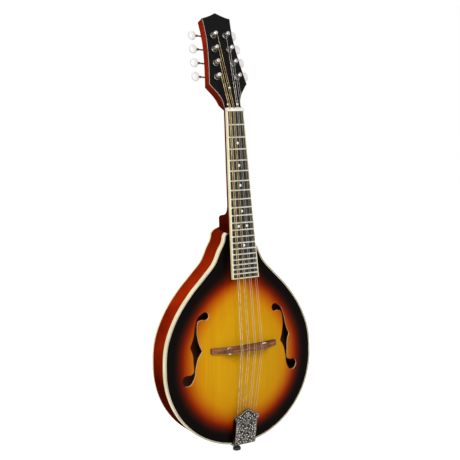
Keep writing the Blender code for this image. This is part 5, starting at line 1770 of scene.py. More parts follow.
@dataclass
class Head:
    """The head's black face, the pale line round it that paints its edge highlight, the bushings and the
    truss rod's cover.
    """

    shape: HeadShape = field(default_factory=HeadShape)
    thick: float = 1.5 * MM
    start: float = 5.75 * MM
    line: float = 0.45 * MM
    post_bore: float = 3.35 * MM
    flange: float = 5.0 * MM
    cover_thick: float = 1.6 * MM
    cover_half: float = 11.0 * MM
    cover_length: float = 34.0 * MM
    cover_screws: tuple = ((-8.0, 11.0), (8.0, 11.0), (0.0, 37.0))

    def overlay(self) -> None:
        """The lacquered face, with the pale line round it as a painted highlight along its edge."""
        outer, inner = self.shape.outline(self.start), self.shape.outline(self.start, self.line)
        line = slab("head_edge_line", HEAD, outer + inner[::-1], -self.line, -0.04 * MM)
        dress(shade(line, 50.0), EDGE_PAINTED_HIGHLIGHT)
        face = slab("head_face", HEAD, inner, -self.thick, 0.0)
        carve(face, slab("head_face_foot", HEAD, outer, -self.thick, -self.line - 0.02 * MM), how="UNION")
        bores = [rod(f"face_bore_{t.label}", t.at(0.0, 0.0, -4.0 * MM), t.at(0.0, 0.0, 4.0 * MM),
                     self.post_bore, 32) for t in TUNERS]
        carve(face, joined("face_bores", *bores))
        carve(face, slab("face_pocket", HEAD, ROD_POCKET, -4.0 * MM, 4.0 * MM))
        dress(shade(face, 30.0), BLACK, "head_overlay")

    def bushings(self) -> None:
        """The nickel collars that the posts turn in."""
        bore, wide = self.post_bore - 0.1 * MM, self.flange
        profile = [(0.02 * MM, wide), (0.4 * MM, wide), (0.75 * MM, 0.96 * wide),
                   (1.0 * MM, 0.88 * wide), (1.18 * MM, 0.8 * wide), (1.2 * MM, 0.74 * wide),
                   (1.05 * MM, bore + 0.1 * MM), (0.9 * MM, bore), (-3.0 * MM, bore),
                   (-3.0 * MM, bore + 0.08 * MM), (0.02 * MM, bore + 0.08 * MM)]
        model = lathe("bushing", Vector(), Z_AXIS, X_AXIS, profile, 40, closed=True)
        shade(model, 40.0)
        for tuner in TUNERS:
            dress(copied(model, f"bushing_{tuner.label}", tuner.matrix()), COLLAR_PAINTED_DARK)
        bpy.data.objects.remove(model)

    def truss_cover(self) -> None:
        """The bell-shaped cover over the truss rod's nut, held by three screws."""
        low, half = 7.5 * MM, self.cover_half
        bell = [(half, low), (half, low + 0.16 * self.cover_length),
                (0.7 * half, low + 0.38 * self.cover_length), (0.44 * half, low + 0.65 * self.cover_length),
                (0.37 * half, low + 0.88 * self.cover_length), (0.16 * half, low + self.cover_length)]
        side = smooth_curve(bell, 30, first=(0.0, 1.0))
        cover = slab("rod_cover", HEAD, side + [(-x, along) for x, along in side[::-1]],
                     0.1 * MM, self.cover_thick)
        ease(cover, 0.35 * MM, 2, 40.0)
        dress(shade(cover, 40.0), BLACK, "truss_rod_cover")
        model = screw_head("cover_screw", 1.9 * MM, 0.95 * MM, 4.0 * MM, 0.8 * MM)
        for number, (x, along) in enumerate(self.cover_screws, start=1):
            place = axes_matrix(HEAD, x * MM, along * MM, self.cover_thick, 0.6 * number)
            screw = copied(model, f"cover_screw_{number}", place)
            dress(screw, NICKEL, f"truss_rod_cover_screw_{number}")
        bpy.data.objects.remove(model)

    def build(self, frame: dict) -> None:
        """Every piece of the head but its core and tuners.

        Args:
            frame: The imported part, as loaded.
        """
        self.overlay()
        self.bushings()
        self.truss_cover()
        refinish(frame, "truss_rod", STEEL)
        refinish(frame, "truss_rod_nut", STEEL)


def axes_matrix(axes: Axes, x: float, along: float, out: float, turn: float = 0.0) -> Matrix:
    """The place of a piece that was made with Z out of a face, turned about that Z.

    Args:
        axes: The face's axes.
        x: How far across.
        along: How far along.
        out: How far out.
        turn: The angle.

    Returns:
        The place.
    """
    across = axes.along
    place = Matrix(((1.0, 0.0, 0.0), across, axes.out)).transposed().to_4x4()
    place.translation = axes.point(x, along, out)
    return place @ Matrix.Rotation(turn, 4, "Z")


def screw_head(name: str, radius: float, height: float, shank: float, shank_radius: float) -> Piece:
    """A round-headed screw with a slot, standing on its own origin with Z out.

    Args:
        name: The piece's name.
        radius: The head's radius.
        height: The head's height.
        shank: The shank's length.
        shank_radius: The shank's radius.

    Returns:
        The screw.
    """
    profile = [(-shank, 0.5 * shank_radius), (-shank + shank_radius, shank_radius),
               (0.0, shank_radius), (0.0, radius)]
    for step in range(1, 7):
        angle = 0.5 * pi * step / 7.0
        profile.append((0.12 * height + 0.88 * height * sin(angle), radius * cos(angle) ** 0.8))
    profile.append((height, 0.12 * radius))
    screw = lathe(name, Vector(), Z_AXIS, X_AXIS, profile, 32)
    flat = Axes(Vector(), radians(-90.0))
    wide = 0.16 * radius
    slot = slab(name + "_slot", flat, oblong(-2.0 * radius, 2.0 * radius, -wide, wide), 0.45 * height,
                2.0 * height)
    carve(screw, slot)
    return shade(screw, 30.0)


@dataclass
class Fretboard:
    """The fingerboard with its binding, frets, dots and nut, and the wedge under its end."""

    binding: float = 1.6 * MM
    crown_width: float = 2.2 * MM
    crown_height: float = 1.0 * MM
    nut_length: float = 5.5 * MM
    nut_rise: float = 2.4 * MM
    string_over_nut: float = 1.4 * MM
    dot_radius: float = 2.1 * MM
    dot_frets: tuple = (3, 5, 7, 10, 12, 15)
    support_short: float = 12.5 * MM
    support_inset: float = 3.0 * MM
    support_thick: float = 9.0 * MM
    support_in_heel: float = 4.0 * MM

    @property
    def low(self) -> float:
        """Where the board ends over the soundboard, from the joint."""
        return PLAN.nut_along - PLAN.board_length

    def board(self) -> None:
        """The dark board and the pale binding round three of its sides."""
        high, low = PLAN.nut_along, self.low
        inner = [(PLAN.board_half(high) - self.binding, high),
                 (PLAN.board_half(low) - self.binding, low + self.binding)]
        shape = inner + [(-x, along) for x, along in reversed(inner)]
        board = slab("fingerboard", NECK, shape, -PLAN.board_thick, 0.0)
        spots = self.dots()
        drills = [rod(f"dot_drill_{i}", NECK.point(x, along, -0.5 * MM),
                      NECK.point(x, along, 1.0 * MM), self.dot_radius + 0.05 * MM, 32)
                  for i, (x, along) in enumerate(spots)]
        carve(board, joined("dot_drills", *drills))
        dress(shade(board, 30.0), EBONISED, "fretboard")
        outer = [(PLAN.board_half(high), high), (PLAN.board_half(low), low)]
        loop = outer + [(-x, along) for x, along in reversed(outer)]
        loop += [(-x, along) for x, along in inner] + inner[::-1]
        strip = slab("fingerboard_binding", NECK, loop, -PLAN.board_thick, 0.0)
        ease(strip, 0.35 * MM, 2, 60.0)
        dress(shade(strip, 40.0), CREAM, "fretboard_binding")

    def dots(self) -> list[Pair]:
        """Where the position dots lie.

        Returns:
            Their places, across and along.
        """
        spots = []
        for fret in self.dot_frets:
            middle = PLAN.nut_along - 0.5 * (PLAN.fret(fret - 1) + PLAN.fret(fret))
            spots += [(-7.0 * MM, middle), (7.0 * MM, middle)] if fret == 12 else [(0.0, middle)]
        return spots

    def inlays(self) -> None:
        """Pearl discs set into the board."""
        radius = self.dot_radius
        model = lathe("dot", Vector(), Z_AXIS, X_AXIS,
                      [(-0.45 * MM, radius), (-0.04 * MM, radius), (0.0, 0.97 * radius)], 32)
        shade(model, 40.0)
        for number, (x, along) in enumerate(self.dots(), start=1):
            dot = copied(model, f"position_dot_{number}",
                         axes_matrix(NECK, x, along, 0.02 * MM, 0.9 * number))
            dress(dot, DOT_PEARL)
        bpy.data.objects.remove(model)

    def frets(self) -> None:
        """Twenty crowned wires with filed ends, all copied from one."""
        wide, high = 0.5 * self.crown_width, self.crown_height
        count = 10
        crown = [(wide * cos(pi * s / count), high * sin(pi * s / count) ** 0.8) for s in range(count + 1)]

        foot = [(-0.25 * MM, -0.02 * MM), (-0.25 * MM, -0.5 * MM), (0.25 * MM, -0.5 * MM),
                (0.25 * MM, -0.02 * MM)]
        ends = ((-1.0, 0.12), (-0.995, 0.5), (-0.98, 0.85), (-0.955, 1.0), (0.955, 1.0),
                (0.98, 0.85), (0.995, 0.5), (1.0, 0.12))
        model = loft("fret", [[Vector((x, a * (0.7 + 0.3 * size), out * size)) for a, out in crown]
                              + [Vector((x, *spot)) for spot in foot] for x, size in ends])
        shade(model, 40.0)
        for number in range(1, PLAN.frets + 1):
            along = PLAN.nut_along - PLAN.fret(number)
            half = PLAN.board_half(along) - 0.5 * self.binding
            place = axes_matrix(NECK, 0.0, along, 0.0) @ Matrix.Diagonal((half, 1.0, 1.0, 1.0))
            dress(copied(model, f"fret_{number:02d}", place), FRET_WIRE)
        bpy.data.objects.remove(model)

    def nut(self) -> None:
        """The bone nut with its eight slots."""
        half, along, rise = PLAN.board_half(PLAN.nut_along), PLAN.nut_along, self.nut_rise
        profile = [(0.0, -PLAN.board_thick), (self.nut_length, -PLAN.board_thick)]
        for step in range(9):
            share = step / 8.0
            profile.append((self.nut_length * (1.0 - 0.8 * share),
                            rise - 2.4 * MM * (1.0 - sin(0.5 * pi * share))))
        profile.append((0.0, rise))
        nut = loft("string_nut", [[NECK.point(x, along + a, out) for a, out in profile]
                                  for x in (-half, half)])
        ease(nut, 0.3 * MM, 2, 50.0)
        slots = []
        for index in range(8):
            x = Strings.place(index, Strings.nut_courses, Strings.nut_pair)
            radius = 0.5 * Strings.diameters[index // 2]
            low = NECK.point(x, along - 2.0 * MM, self.string_over_nut + radius)
            high = NECK.point(x, along + 8.0 * MM, self.string_over_nut + radius - 1.4 * MM)
            slots.append(rod(f"nut_slot_{index}", low, high, radius + 0.12 * MM, 12))
        carve(nut, joined("nut_slots", *slots))
        dress(shade(nut, 40.0), BONE, "nut")

    def support(self) -> None:
        """The wedge that carries the board's end over the soundboard."""
        body = BodyShape()
        side = 1.0 - ((PLAN.board_half(0.0) - self.support_inset) / body.crown_half) ** 2
        start = body.top - body.crown_rise * (1.0 - sqrt(side))
        end = self.low * cos(NECK.tilt) + self.support_short
        neck = Neck()
        rings = []
        for step in range(17):
            z = start + (end - start) * step / 16.0
            half = PLAN.board_half(z / cos(NECK.tilt)) - self.support_inset
            front = -neck.under(z)
            back = max(body.height(0.0, z) + 0.02 * MM, front - (neck.depth_heel - self.support_in_heel))
            back = max(back, front - self.support_thick) if step == 16 else back
            rings.append([BODY.point(x, z, out) for x, out in oblong(-half, half, front, back)])
        wedge = loft("fingerboard_support", rings)
        ease(wedge, 0.5 * MM, 2, 60.0)
        dress(shade(wedge, 30.0), BLACK, "fretboard_support")

    def build(self) -> None:
        """Every piece of the fretboard."""
        self.board()
        self.inlays()
        self.frets()
        self.nut()
        self.support()


@dataclass
class TunerBank:
    """Posts, gears, worms, knobs and the two plates that carry them."""

    post_radius: float = 3.0 * MM
    waist: float = 2.5 * MM
    height: float = 11.0 * MM
    waist_low: float = 3.6 * MM
    waist_high: float = 8.8 * MM
    plate_face: float = -17.5 * MM
    plate_thick: float = 1.2 * MM
    plate_half: float = 6.5 * MM
    plate_end: float = 7.0 * MM
    plate_screws: tuple = (-9.4, 13.4, 35.6, 57.8, 76.0)
    overhang: float = 13.0 * MM
    gear_face: float = -17.8 * MM
    gear_thick: float = 4.2 * MM
    gear_radius: float = 4.3 * MM
    gear_root: float = 3.6 * MM
    teeth: int = 15
    worm_up: float = 6.4 * MM
    worm_out: float = -19.9 * MM
    worm_radius: float = 1.8 * MM
    worm_half: float = 3.4 * MM
    shaft: float = 1.25 * MM
    ear_near: float = 3.9 * MM
    ear_thick: float = 1.3 * MM
    ear_half: float = 2.4 * MM
    knob_at: float = 25.5 * MM
    knob_length: float = 12.0 * MM
    knob_half: float = 7.5 * MM
    knob_thin: float = 3.6 * MM

    def post(self) -> Piece:
        """A string post with its waist, its string hole and the gear behind it.

        Returns:
            The model.
        """
        low, high, wide, thin = self.waist_low, self.waist_high, self.post_radius, self.waist
        profile = [(self.gear_face - 0.5 * self.gear_thick, wide), (low - 0.2 * MM, wide)]
        for step in range(9):
            share = step / 8.0
            swell = 1.0 - sin(pi * share) ** 0.5
            profile.append((low + (high + 0.6 * MM - low) * share, thin + (wide - thin) * swell))
        profile += [(high + 0.8 * MM, wide), (self.height - 0.7 * MM, wide),
                    (self.height - 0.25 * MM, 0.93 * wide), (self.height, 0.78 * wide)]
        post = lathe("post_model", Vector(), Z_AXIS, X_AXIS, profile, 40)
        hole = rod("post_hole", Vector((0.0, -5.0 * MM, 6.2 * MM)),
                   Vector((0.0, 5.0 * MM, 6.2 * MM)), 0.7 * MM, 16)
        carve(post, hole)
        rings = []
        for drop, size in ((self.gear_thick, 0.93), (self.gear_thick - 0.35 * MM, 1.0),
                           (0.35 * MM, 1.0), (0.0, 0.93)):
            ring = []
            for tooth in range(self.teeth):
                for part, radius in ((-0.3, self.gear_root), (-0.13, self.gear_radius),
                                     (0.13, self.gear_radius), (0.3, self.gear_root)):
                    angle = TURN * (tooth + part) / self.teeth
                    ring.append(Vector((size * radius * cos(angle), size * radius * sin(angle),
                                        self.gear_face - drop)))
            rings.append(ring)
        gear = loft("gear_model", rings)
        carve(post, gear, how="UNION")
        cap = screw_head("gear_screw", 2.0 * MM, 0.8 * MM, 1.0 * MM, 0.8 * MM)
        flip = Matrix.Translation((0.0, 0.0, self.gear_face - self.gear_thick))
        flip = flip @ Matrix.Rotation(pi, 4, "X")
        head = copied(cap, "gear_screw_set", flip)
        bpy.data.objects.remove(cap)
        return shade(joined("post_model", post, head), 30.0)

    def shaft_piece(self) -> Piece:
        """The worm shaft: its thread, journals and the collar at the knob.

        Returns:
            The model.
        """
        inner = self.knob_at - 0.5 * self.knob_length
        start = -self.ear_near - self.ear_thick - 1.0 * MM
        journal, collar, beyond = self.shaft, inner - 3.0 * MM, self.worm_half + 0.2 * MM
        levels = [(start, 0.8 * journal, 0.0, 0.0), (start + 0.25 * MM, journal, 0.0, 0.0),
                  (-beyond, journal, 0.0, 0.0)]
        pitch, thread, steps = 1.5 * MM, 0.3 * MM, 54
        for step in range(steps + 1):
            x = -self.worm_half + 2.0 * self.worm_half * step / steps
            levels.append((x, self.worm_radius - thread, thread, TURN * x / pitch))
        levels += [(beyond, journal, 0.0, 0.0), (collar - 0.2 * MM, journal, 0.0, 0.0),
                   (collar, 1.5 * journal, 0.0, 0.0), (collar + 1.8 * MM, 1.6 * journal, 0.0, 0.0),
                   (collar + 3.6 * MM, 1.75 * journal, 0.0, 0.0)]
        sides = [TURN * side / 24.0 for side in range(24)]
        rings = []
        for x, radius, depth, turn in levels:
            reach = [radius + depth * cos(a - turn) for a in sides]
            rings.append([Vector((x, far * cos(a), far * sin(a))) for far, a in zip(reach, sides)])
        return shade(loft("shaft_model", rings), 40.0)

    def knob(self) -> Piece:
        """An oval knob, thin across and rounded at its edge.

        Returns:
            The model.
        """
        inner = self.knob_at - 0.5 * self.knob_length
        rings = []
        steps, sides = 18, 40
        for step in range(steps + 1):
            share = 0.5 - 0.5 * cos(pi * (0.04 + 0.92 * step / steps))
            size = (1.0 - abs(2.0 * share - 1.0) ** 2.6) ** 0.5
            thin = (1.0 - abs(2.0 * share - 1.0) ** 3.4) ** 0.5
            ring = []
            for side in range(sides):
                angle = TURN * side / sides
                across = copysign(abs(cos(angle)) ** 0.9, cos(angle))
                ring.append(Vector((inner + share * self.knob_length, self.knob_half * size * across,
                                    self.knob_thin * thin * sin(angle))))
            rings.append(ring)
        return shade(loft("knob_model", rings), 60.0)

    def plate(self) -> Piece:
        """One bank's plate with rounded ends, its ears, holes and screws, made for X out.

        Returns:
            The model.
        """
        length = 3 * Tuner.spacing
        low, high, half = -self.overhang, length + self.overhang, self.plate_half
        end = []
        for step in range(13):
            angle = 0.5 * pi * step / 12.0
            end.append((half * cos(angle) ** 0.6, self.plate_end * sin(angle) ** 0.9))
        top = [(x, high - self.plate_end + y) for x, y in end]
        ring = top + [(-x, y) for x, y in top[-2::-1]]
        ring += [(-x, low + high - y) for x, y in ring]
        plate = loft("plate_model", [[Vector((x, y, z)) for x, y in ring] for z in (
            self.plate_face, self.plate_face + self.plate_thick)])
        ease(plate, 0.25 * MM, 2, 50.0)
        ears, holes = [], []
        ear_end = self.worm_out - self.shaft - 1.2 * MM
        root = self.plate_face + 0.5 * self.plate_thick
        for number in range(4):
            up = number * Tuner.spacing + self.worm_up
            for near in (-self.ear_near - self.ear_thick, self.ear_near):
                outline = [(up - self.ear_half, root), (up + self.ear_half, root)]
                for step in range(13):
                    angle = pi * step / 12.0
                    outline.append((up + self.ear_half * cos(angle),
                                    self.worm_out + (ear_end - self.worm_out) * sin(angle)))
                ears.append(loft(f"ear_{number}", [[Vector((x, y, z)) for y, z in outline]
                                                   for x in (near, near + self.ear_thick)]))
            reach = self.ear_near + self.ear_thick + 1.0 * MM
            holes.append(rod("ear_hole", Vector((-reach, up, self.worm_out)),
                             Vector((reach, up, self.worm_out)), self.shaft + 0.2 * MM, 20))
            post = number * Tuner.spacing
            holes.append(rod("plate_hole", Vector((0.0, post, self.plate_face - 2.0 * MM)),
                             Vector((0.0, post, self.plate_face + 3.0 * MM)), 3.3 * MM, 32))
        for ear in ears:
            carve(plate, ear, how="UNION")
        carve(plate, joined("plate_holes", *holes))
        screws = []
        model = screw_head("plate_screw", 2.1 * MM, 1.0 * MM, 3.0 * MM, 0.9 * MM)
        for number, up in enumerate(self.plate_screws):
            place = Matrix.Translation((0.0, up * MM, self.plate_face))
            turn = Matrix.Rotation(pi, 4, "X") @ Matrix.Rotation(0.7 * number, 4, "Z")
            screws.append(copied(model, f"plate_screw_{number}", place @ turn))
        bpy.data.objects.remove(model)
        return shade(joined("plate_model", plate, *screws), 30.0)

    def build(self) -> None:
        """Model each shape once and copy it to its places."""
        post, shaft, knob, plate = self.post(), self.shaft_piece(), self.knob(), self.plate()
        for tuner in TUNERS:
            worm = tuner.matrix(self.worm_up, self.worm_out)
            dress(copied(post, f"string_post_{tuner.label}", tuner.matrix()), NICKEL,
                  f"tuner_post_{tuner.label}", body="post_" + tuner.label)
            dress(copied(shaft, f"worm_shaft_{tuner.label}", worm), SHAFT_NICKEL_PAINTED_DARK, body="knob_" + tuner.label)
            dress(copied(knob, f"button_{tuner.label}", worm), PEARL,
                  f"tuner_knob_{tuner.label}", body="knob_" + tuner.label)
        for bank in Bank:
            first = Tuner(bank, 0)
            place = Matrix((first.outward, first.up, HEAD.out)).transposed().to_4x4()
            place.translation = first.centre
            dress(copied(plate, f"bank_plate_{bank.word}", place), DULL_NICKEL, f"tuner_plate_{bank.word}")
        for model in (post, shaft, knob, plate):
            bpy.data.objects.remove(model)


@dataclass
class Bridge:
    """Base, studs, thumbwheels and saddle."""

    base_half: float = 55.5 * MM
    base_width: float = 8.2 * MM
    base_out: float = 17.2 * MM
    flat_half: float = 38.0 * MM
    foot_height: float = 6.2 * MM
    saddle_half: float = 38.5 * MM
    crown_half: float = 25.0 * MM
    end_height: float = 5.0 * MM
    foot_width: float = 6.0 * MM
    top_width: float = 3.4 * MM
    stud_x: float = 30.0 * MM
    stud_radius: float = 1.5 * MM
    wheel_radius: float = 5.4 * MM
    wheel_thick: float = 2.8 * MM
    lift_down: float = 1.2 * MM

    @property
    def wheel_low(self) -> float:
        """Where the wheels' undersides stand, out of the rim plane."""
        return self.base_out + self.lift_down + PLAN.gap

    @property
    def saddle_low(self) -> float:
        """Where the saddle's underside stands."""
        return self.wheel_low + self.wheel_thick + PLAN.gap

    def base(self) -> None:
        """The lower bar, fitted to the soundboard's arch, with sloping ends."""
        body = BodyShape()
        half = 0.5 * self.base_width
        end = body.height(self.base_half, BRIDGE_Z) + self.foot_height
        rings = []
        for step in range(41):
            x = self.base_half * (step / 20.0 - 1.0)
            foot = max(body.height(x, BRIDGE_Z + z) for z in (-half, half)) + 0.05 * MM
            share = max(abs(x) - self.flat_half, 0.0) / (self.base_half - self.flat_half)
            crown = self.base_out + (end - self.base_out) * share ** 1.15
            crown = max(crown, foot + 1.5 * MM)
            section = [(-half, foot), (half, foot), (0.95 * half, crown - 1.2 * MM),
                       (0.82 * half, crown - 0.35 * MM), (0.6 * half, crown),
                       (-0.6 * half, crown), (-0.82 * half, crown - 0.35 * MM),
                       (-0.95 * half, crown - 1.2 * MM)]
            rings.append([BODY.point(x, BRIDGE_Z + z, out) for z, out in section])
        base = shade(loft("bridge_foot", rings), 35.0)
        dress(base, BRIDGE_WOOD, "bridge_base")

    def studs(self) -> None:
        """Two threaded studs."""
        low, high = self.base_out - 4.0 * MM, self.saddle_low + 6.0 * MM
        pitch = 0.7 * MM
        count = round((high - low) / pitch)
        profile = []
        for step in range(count):
            profile += [(low + pitch * step, 0.88 * self.stud_radius),
                        (low + pitch * (step + 0.5), self.stud_radius)]
        for bank in Bank:
            foot = BODY.point(bank.value * self.stud_x, BRIDGE_Z, 0.0)
            stud = lathe(f"lift_stud_{bank.word}", foot, BODY.out, Z_AXIS, profile, 20)
            dress(shade(stud, 60.0), STEEL, f"bridge_stud_{bank.word}")

    def wheels(self) -> None:
        """Two knurled thumbwheels."""
        hole, wide, thick = self.stud_radius + 0.15 * MM, self.wheel_radius, self.wheel_thick
        sides = 72
        rings = []
        levels = [(0.0, hole, 0.0), (0.0, 0.9 * wide, 0.0),
                  (0.35 * MM, 0.98 * wide, 1.0), (0.5 * MM, wide, 1.0)]
        levels += [(thick - out, radius, knurl) for out, radius, knurl in levels[::-1]]
        for out, radius, knurl in levels:
            ring = []
            for side in range(sides):
                angle = TURN * side / sides
                reach = radius - 0.28 * MM * knurl * (side % 2)
                ring.append(Vector((reach * cos(angle), reach * sin(angle), out)))
            rings.append(ring)
        model = shade(loft("wheel", rings, capped=False, closed=True), 30.0)
        for bank in Bank:
            place = axes_matrix(BODY, bank.value * self.stud_x, BRIDGE_Z, self.wheel_low)
            dress(copied(model, f"lift_wheel_{bank.word}", place), NICKEL,
                  f"thumbwheel_{bank.word}", body=f"thumbwheel_{bank.word}")
        bpy.data.objects.remove(model)

    def saddle(self) -> None:
        """The upper bar, with stepped crowns and a groove for each string."""
        low = self.saddle_low
        high = STRING_OUT - 0.5 * Strings.diameters[0]
        end = low + self.end_height
        knots = [(self.crown_half, high), (self.crown_half + 3.5 * MM, high - 2.6 * MM),
                 (self.saddle_half - 6.0 * MM, end + 1.1 * MM), (self.saddle_half, end - 0.6 * MM)]
        slope = smooth_curve(knots, 14, first=(1.0, -0.2))
        profile = [(-x, out) for x, out in slope[::-1]]
        profile += [(x * self.crown_half, high) for x in (-0.66, -0.33, 0.0, 0.33, 0.66)] + slope
        foot, top = 0.5 * self.foot_width, 0.5 * self.top_width
        rings = []
        for x, crown in profile:
            section = [(-foot, low), (foot, low), (0.98 * foot, low + 2.6 * MM),
                       (top + 0.2 * MM, max(crown - 1.6 * MM, low + 2.8 * MM)),
                       (top, crown - 0.3 * MM), (0.7 * top, crown), (-0.7 * top, crown),
                       (-top, crown - 0.3 * MM), (-top - 0.2 * MM, max(crown - 1.6 * MM, low + 2.8 * MM)),
                       (-0.98 * foot, low + 2.6 * MM)]
            rings.append([BODY.point(x, BRIDGE_Z + z, out) for z, out in section])
        saddle = loft("bridge_bar", rings)
        cuts = []
        for index in range(8):
            x = Strings.place(index, Strings.saddle_courses, Strings.saddle_pair)
            radius = 0.5 * Strings.diameters[index // 2] + 0.08 * MM
            cuts.append(rod(f"saddle_groove_{index}", BODY.point(x, BRIDGE_Z - 5.0 * MM, STRING_OUT),
                            BODY.point(x, BRIDGE_Z + 5.0 * MM, STRING_OUT), radius, 12))
        for bank in Bank:
            x = bank.value * self.stud_x
            cuts.append(rod(f"saddle_well_{bank.word}", BODY.point(x, BRIDGE_Z, low - 2.0 * MM),
                            BODY.point(x, BRIDGE_Z, low + 6.0 * MM + self.lift_down + PLAN.gap),
                            self.stud_radius + 0.15 * MM, 24))
        carve(saddle, joined("saddle_cuts", *cuts))
        dress(shade(saddle, 35.0), BRIDGE_WOOD, "bridge_saddle", body="saddle")

    def build(self) -> None:
        """Every piece of the bridge."""
        self.base()
        self.studs()
        self.wheels()
        self.saddle()


@dataclass
class Tailpiece:
    """Base plate with its hooks, the engraved cover that slides over it, and the end pin."""

    plate_thick: float = 1.2 * MM
    plate_under: float = 3.0 * MM
    plate_half: float = 17.2 * MM
    plate_front: float = 15.0 * MM
    leg_back: float = 31.0 * MM
    hook_half: float = 0.5 * MM
    hook_head: float = 1.4 * MM
    half: float = 18.6 * MM
    wall: float = 0.9 * MM
    out: float = 2.6 * MM
    apex: float = 28.5 * MM
    shoulder: float = 18.5 * MM
    tail: float = 31.0 * MM
    ear_half: float = 21.4 * MM
    ear_high: float = 17.0 * MM
    chase_pitch: float = 2.45 * MM
    ear_low: float = 10.0 * MM
    pin_y: float = 16.5 * MM
    spirals: tuple = (
        (10.4, 9.4, 4.8, 2.6, 1.5, 1), (9.6, -3.0, 5.2, 1.2, 1.6, -1), (9.6, -16.0, 5.2, 4.6, 1.6, 1),
        (4.4, 17.2, 3.4, 4.4, 1.2, -1), (3.4, 4.4, 2.6, 0.4, 1.1, 1), (3.4, -9.6, 2.7, 3.4, 1.1, -1),
        (3.8, -22.6, 2.9, 1.0, 1.1, 1), (15.2, -9.6, 1.8, 0.4, 0.9, 1), (15.2, 3.2, 1.8, 5.4, 0.9, -1),
        (13.8, -24.4, 2.6, 2.2, 1.1, -1), (8.4, -26.4, 1.9, 0.6, 0.9, 1), (16.4, 13.6, 1.9, 3.4, 0.9, 1),
    )
    bead_spots: tuple = (
        (5.6, 12.2), (3.2, 9.2), (14.8, 8.2), (6.4, 0.8), (15.4, -1.4), (5.8, -6.2), (15.4, -5.6),
        (5.8, -12.4), (15.6, -13.6), (6.0, -19.4), (15.4, -19.6), (11.4, -21.4), (2.2, -15.8),
        (2.2, -4.2), (8.6, 14.6), (1.8, 21.4), (12.0, 3.4), (11.6, -8.8), (2.4, -27.4), (11.2, -28.0),
        (12.4, 16.0),
    )

    def base(self) -> None:
        """The bent plate, its hooks and its two screws."""
        top, under = -self.plate_under, -self.plate_under - self.plate_thick
        face = PLAN.body_end - 0.05 * MM
        hook_z = PLAN.body_end + PLAN.hook_above_end
        corner = (face - self.plate_thick - hook_z) / cos(TAIL.tilt)
        inside = (face - hook_z) / cos(TAIL.tilt)
        profile = [TAIL.point(0.0, self.plate_front, under), TAIL.point(0.0, self.plate_front, top),
                   TAIL.point(0.0, corner, top), BODY.point(0.0, face - self.plate_thick, -self.leg_back),
                   BODY.point(0.0, face, -self.leg_back), TAIL.point(0.0, inside, under)]
        profile[2] = Vector((0.0, profile[2].y, profile[3].z))
        profile[5] = Vector((0.0, profile[5].y, profile[4].z))
        plate = loft("tail_plate", [[point + Vector((x, 0.0, 0.0)) for point in profile]
                                    for x in (-self.plate_half, self.plate_half)])
        ease(plate, 0.4 * MM, 3, 50.0)
        bores = [rod("pin_bore", BODY.point(0.0, face + 4.0 * MM, -self.pin_y),
                     BODY.point(0.0, face - 6.0 * MM, -self.pin_y), 3.9 * MM, 32)]
        carve(plate, *bores)
        dress(shade(plate, 35.0), DULL_NICKEL, "tailpiece_base")
        model = lathe("hook", Vector(), Z_AXIS, X_AXIS, [
            (under + 0.3 * MM, self.hook_half), (0.6 * MM, self.hook_half),
            (0.8 * MM, 1.5 * self.hook_half), (1.1 * MM, 1.6 * self.hook_half),
            (self.hook_head, 1.0 * self.hook_half)], 20)
        shade(model, 40.0)
        for index in range(8):
            x = Strings.place(index, Strings.hook_courses, Strings.hook_pair)
            dress(copied(model, f"string_hook_{index + 1}", axes_matrix(TAIL, x, 0.0, 0.0)), NICKEL)
        bpy.data.objects.remove(model)
        screw = screw_head("tail_screw", 2.4 * MM, 1.3 * MM, 14.0 * MM, 1.3 * MM)
        for bank in Bank:
            place = Matrix((X_AXIS, (0.0, -1.0, 0.0), -Z_AXIS)).transposed().to_4x4()
            place.translation = BODY.point(bank.value * 11.0 * MM, face - self.plate_thick, -24.0 * MM)
            place = place @ Matrix.Rotation(0.5 + bank.value * 0.8, 4, "Z")
            dress(copied(screw, f"tail_screw_{bank.word}", place), NICKEL, f"tailpiece_screw_{bank.word}")
        bpy.data.objects.remove(screw)

    def outline(self, inset: float = 0.0) -> list[Pair]:
        """The cover's edge: straight sides, an ear at each shoulder and a pointed top.

        Args:
            inset: How far inwards.

        Returns:
            Its points.
        """
        half, ear = self.half - inset, self.ear_half - inset
        side = [(half, -self.tail + inset), (half, self.ear_low + 0.8 * inset)]
        middle = 0.5 * (self.ear_low + self.ear_high)
        reach = 0.5 * (self.ear_high - self.ear_low) - 0.6 * inset
        for step in range(9):
            angle = pi * (step / 8.0 - 0.5)
            side.append((half + (ear - half) * cos(angle) ** 0.6, middle + reach * sin(angle) + 0.6 * MM))
        side.append((half, self.shoulder - 0.4 * inset))
        shoulder, apex = self.shoulder - 0.4 * inset, self.apex - 1.25 * inset
        for step in range(1, 12):
            share = step / 12.0
            swell = 1.1 * MM * sin(TURN * share)
            side.append((half * (1.0 - share), shoulder + (apex - shoulder) * share - swell))
        return side + [(0.0, apex)] + [(-x, along) for x, along in reversed(side)]

    def cover(self) -> None:
        """The pressed cover with its turned-down sides."""
        cover = slab("tail_cover", TAIL, self.outline(), self.out, self.out + self.wall)
        ease(cover, 0.3 * MM, 2, 50.0)
        wall_low = -self.plate_under - self.plate_thick - 0.8 * MM
        for bank in Bank:
            near, far = sorted((bank.value * (self.half - self.wall), bank.value * self.half))
            side = slab(f"cover_side_{bank.word}", TAIL, oblong(near, far, -self.tail, self.ear_low),
                        wall_low, self.out + 0.5 * self.wall)
            carve(cover, side, how="UNION")
        dress(shade(cover, 35.0), ENGRAVED_GROUND_PAINTED_DARK, "tailpiece_cover", body="cover")

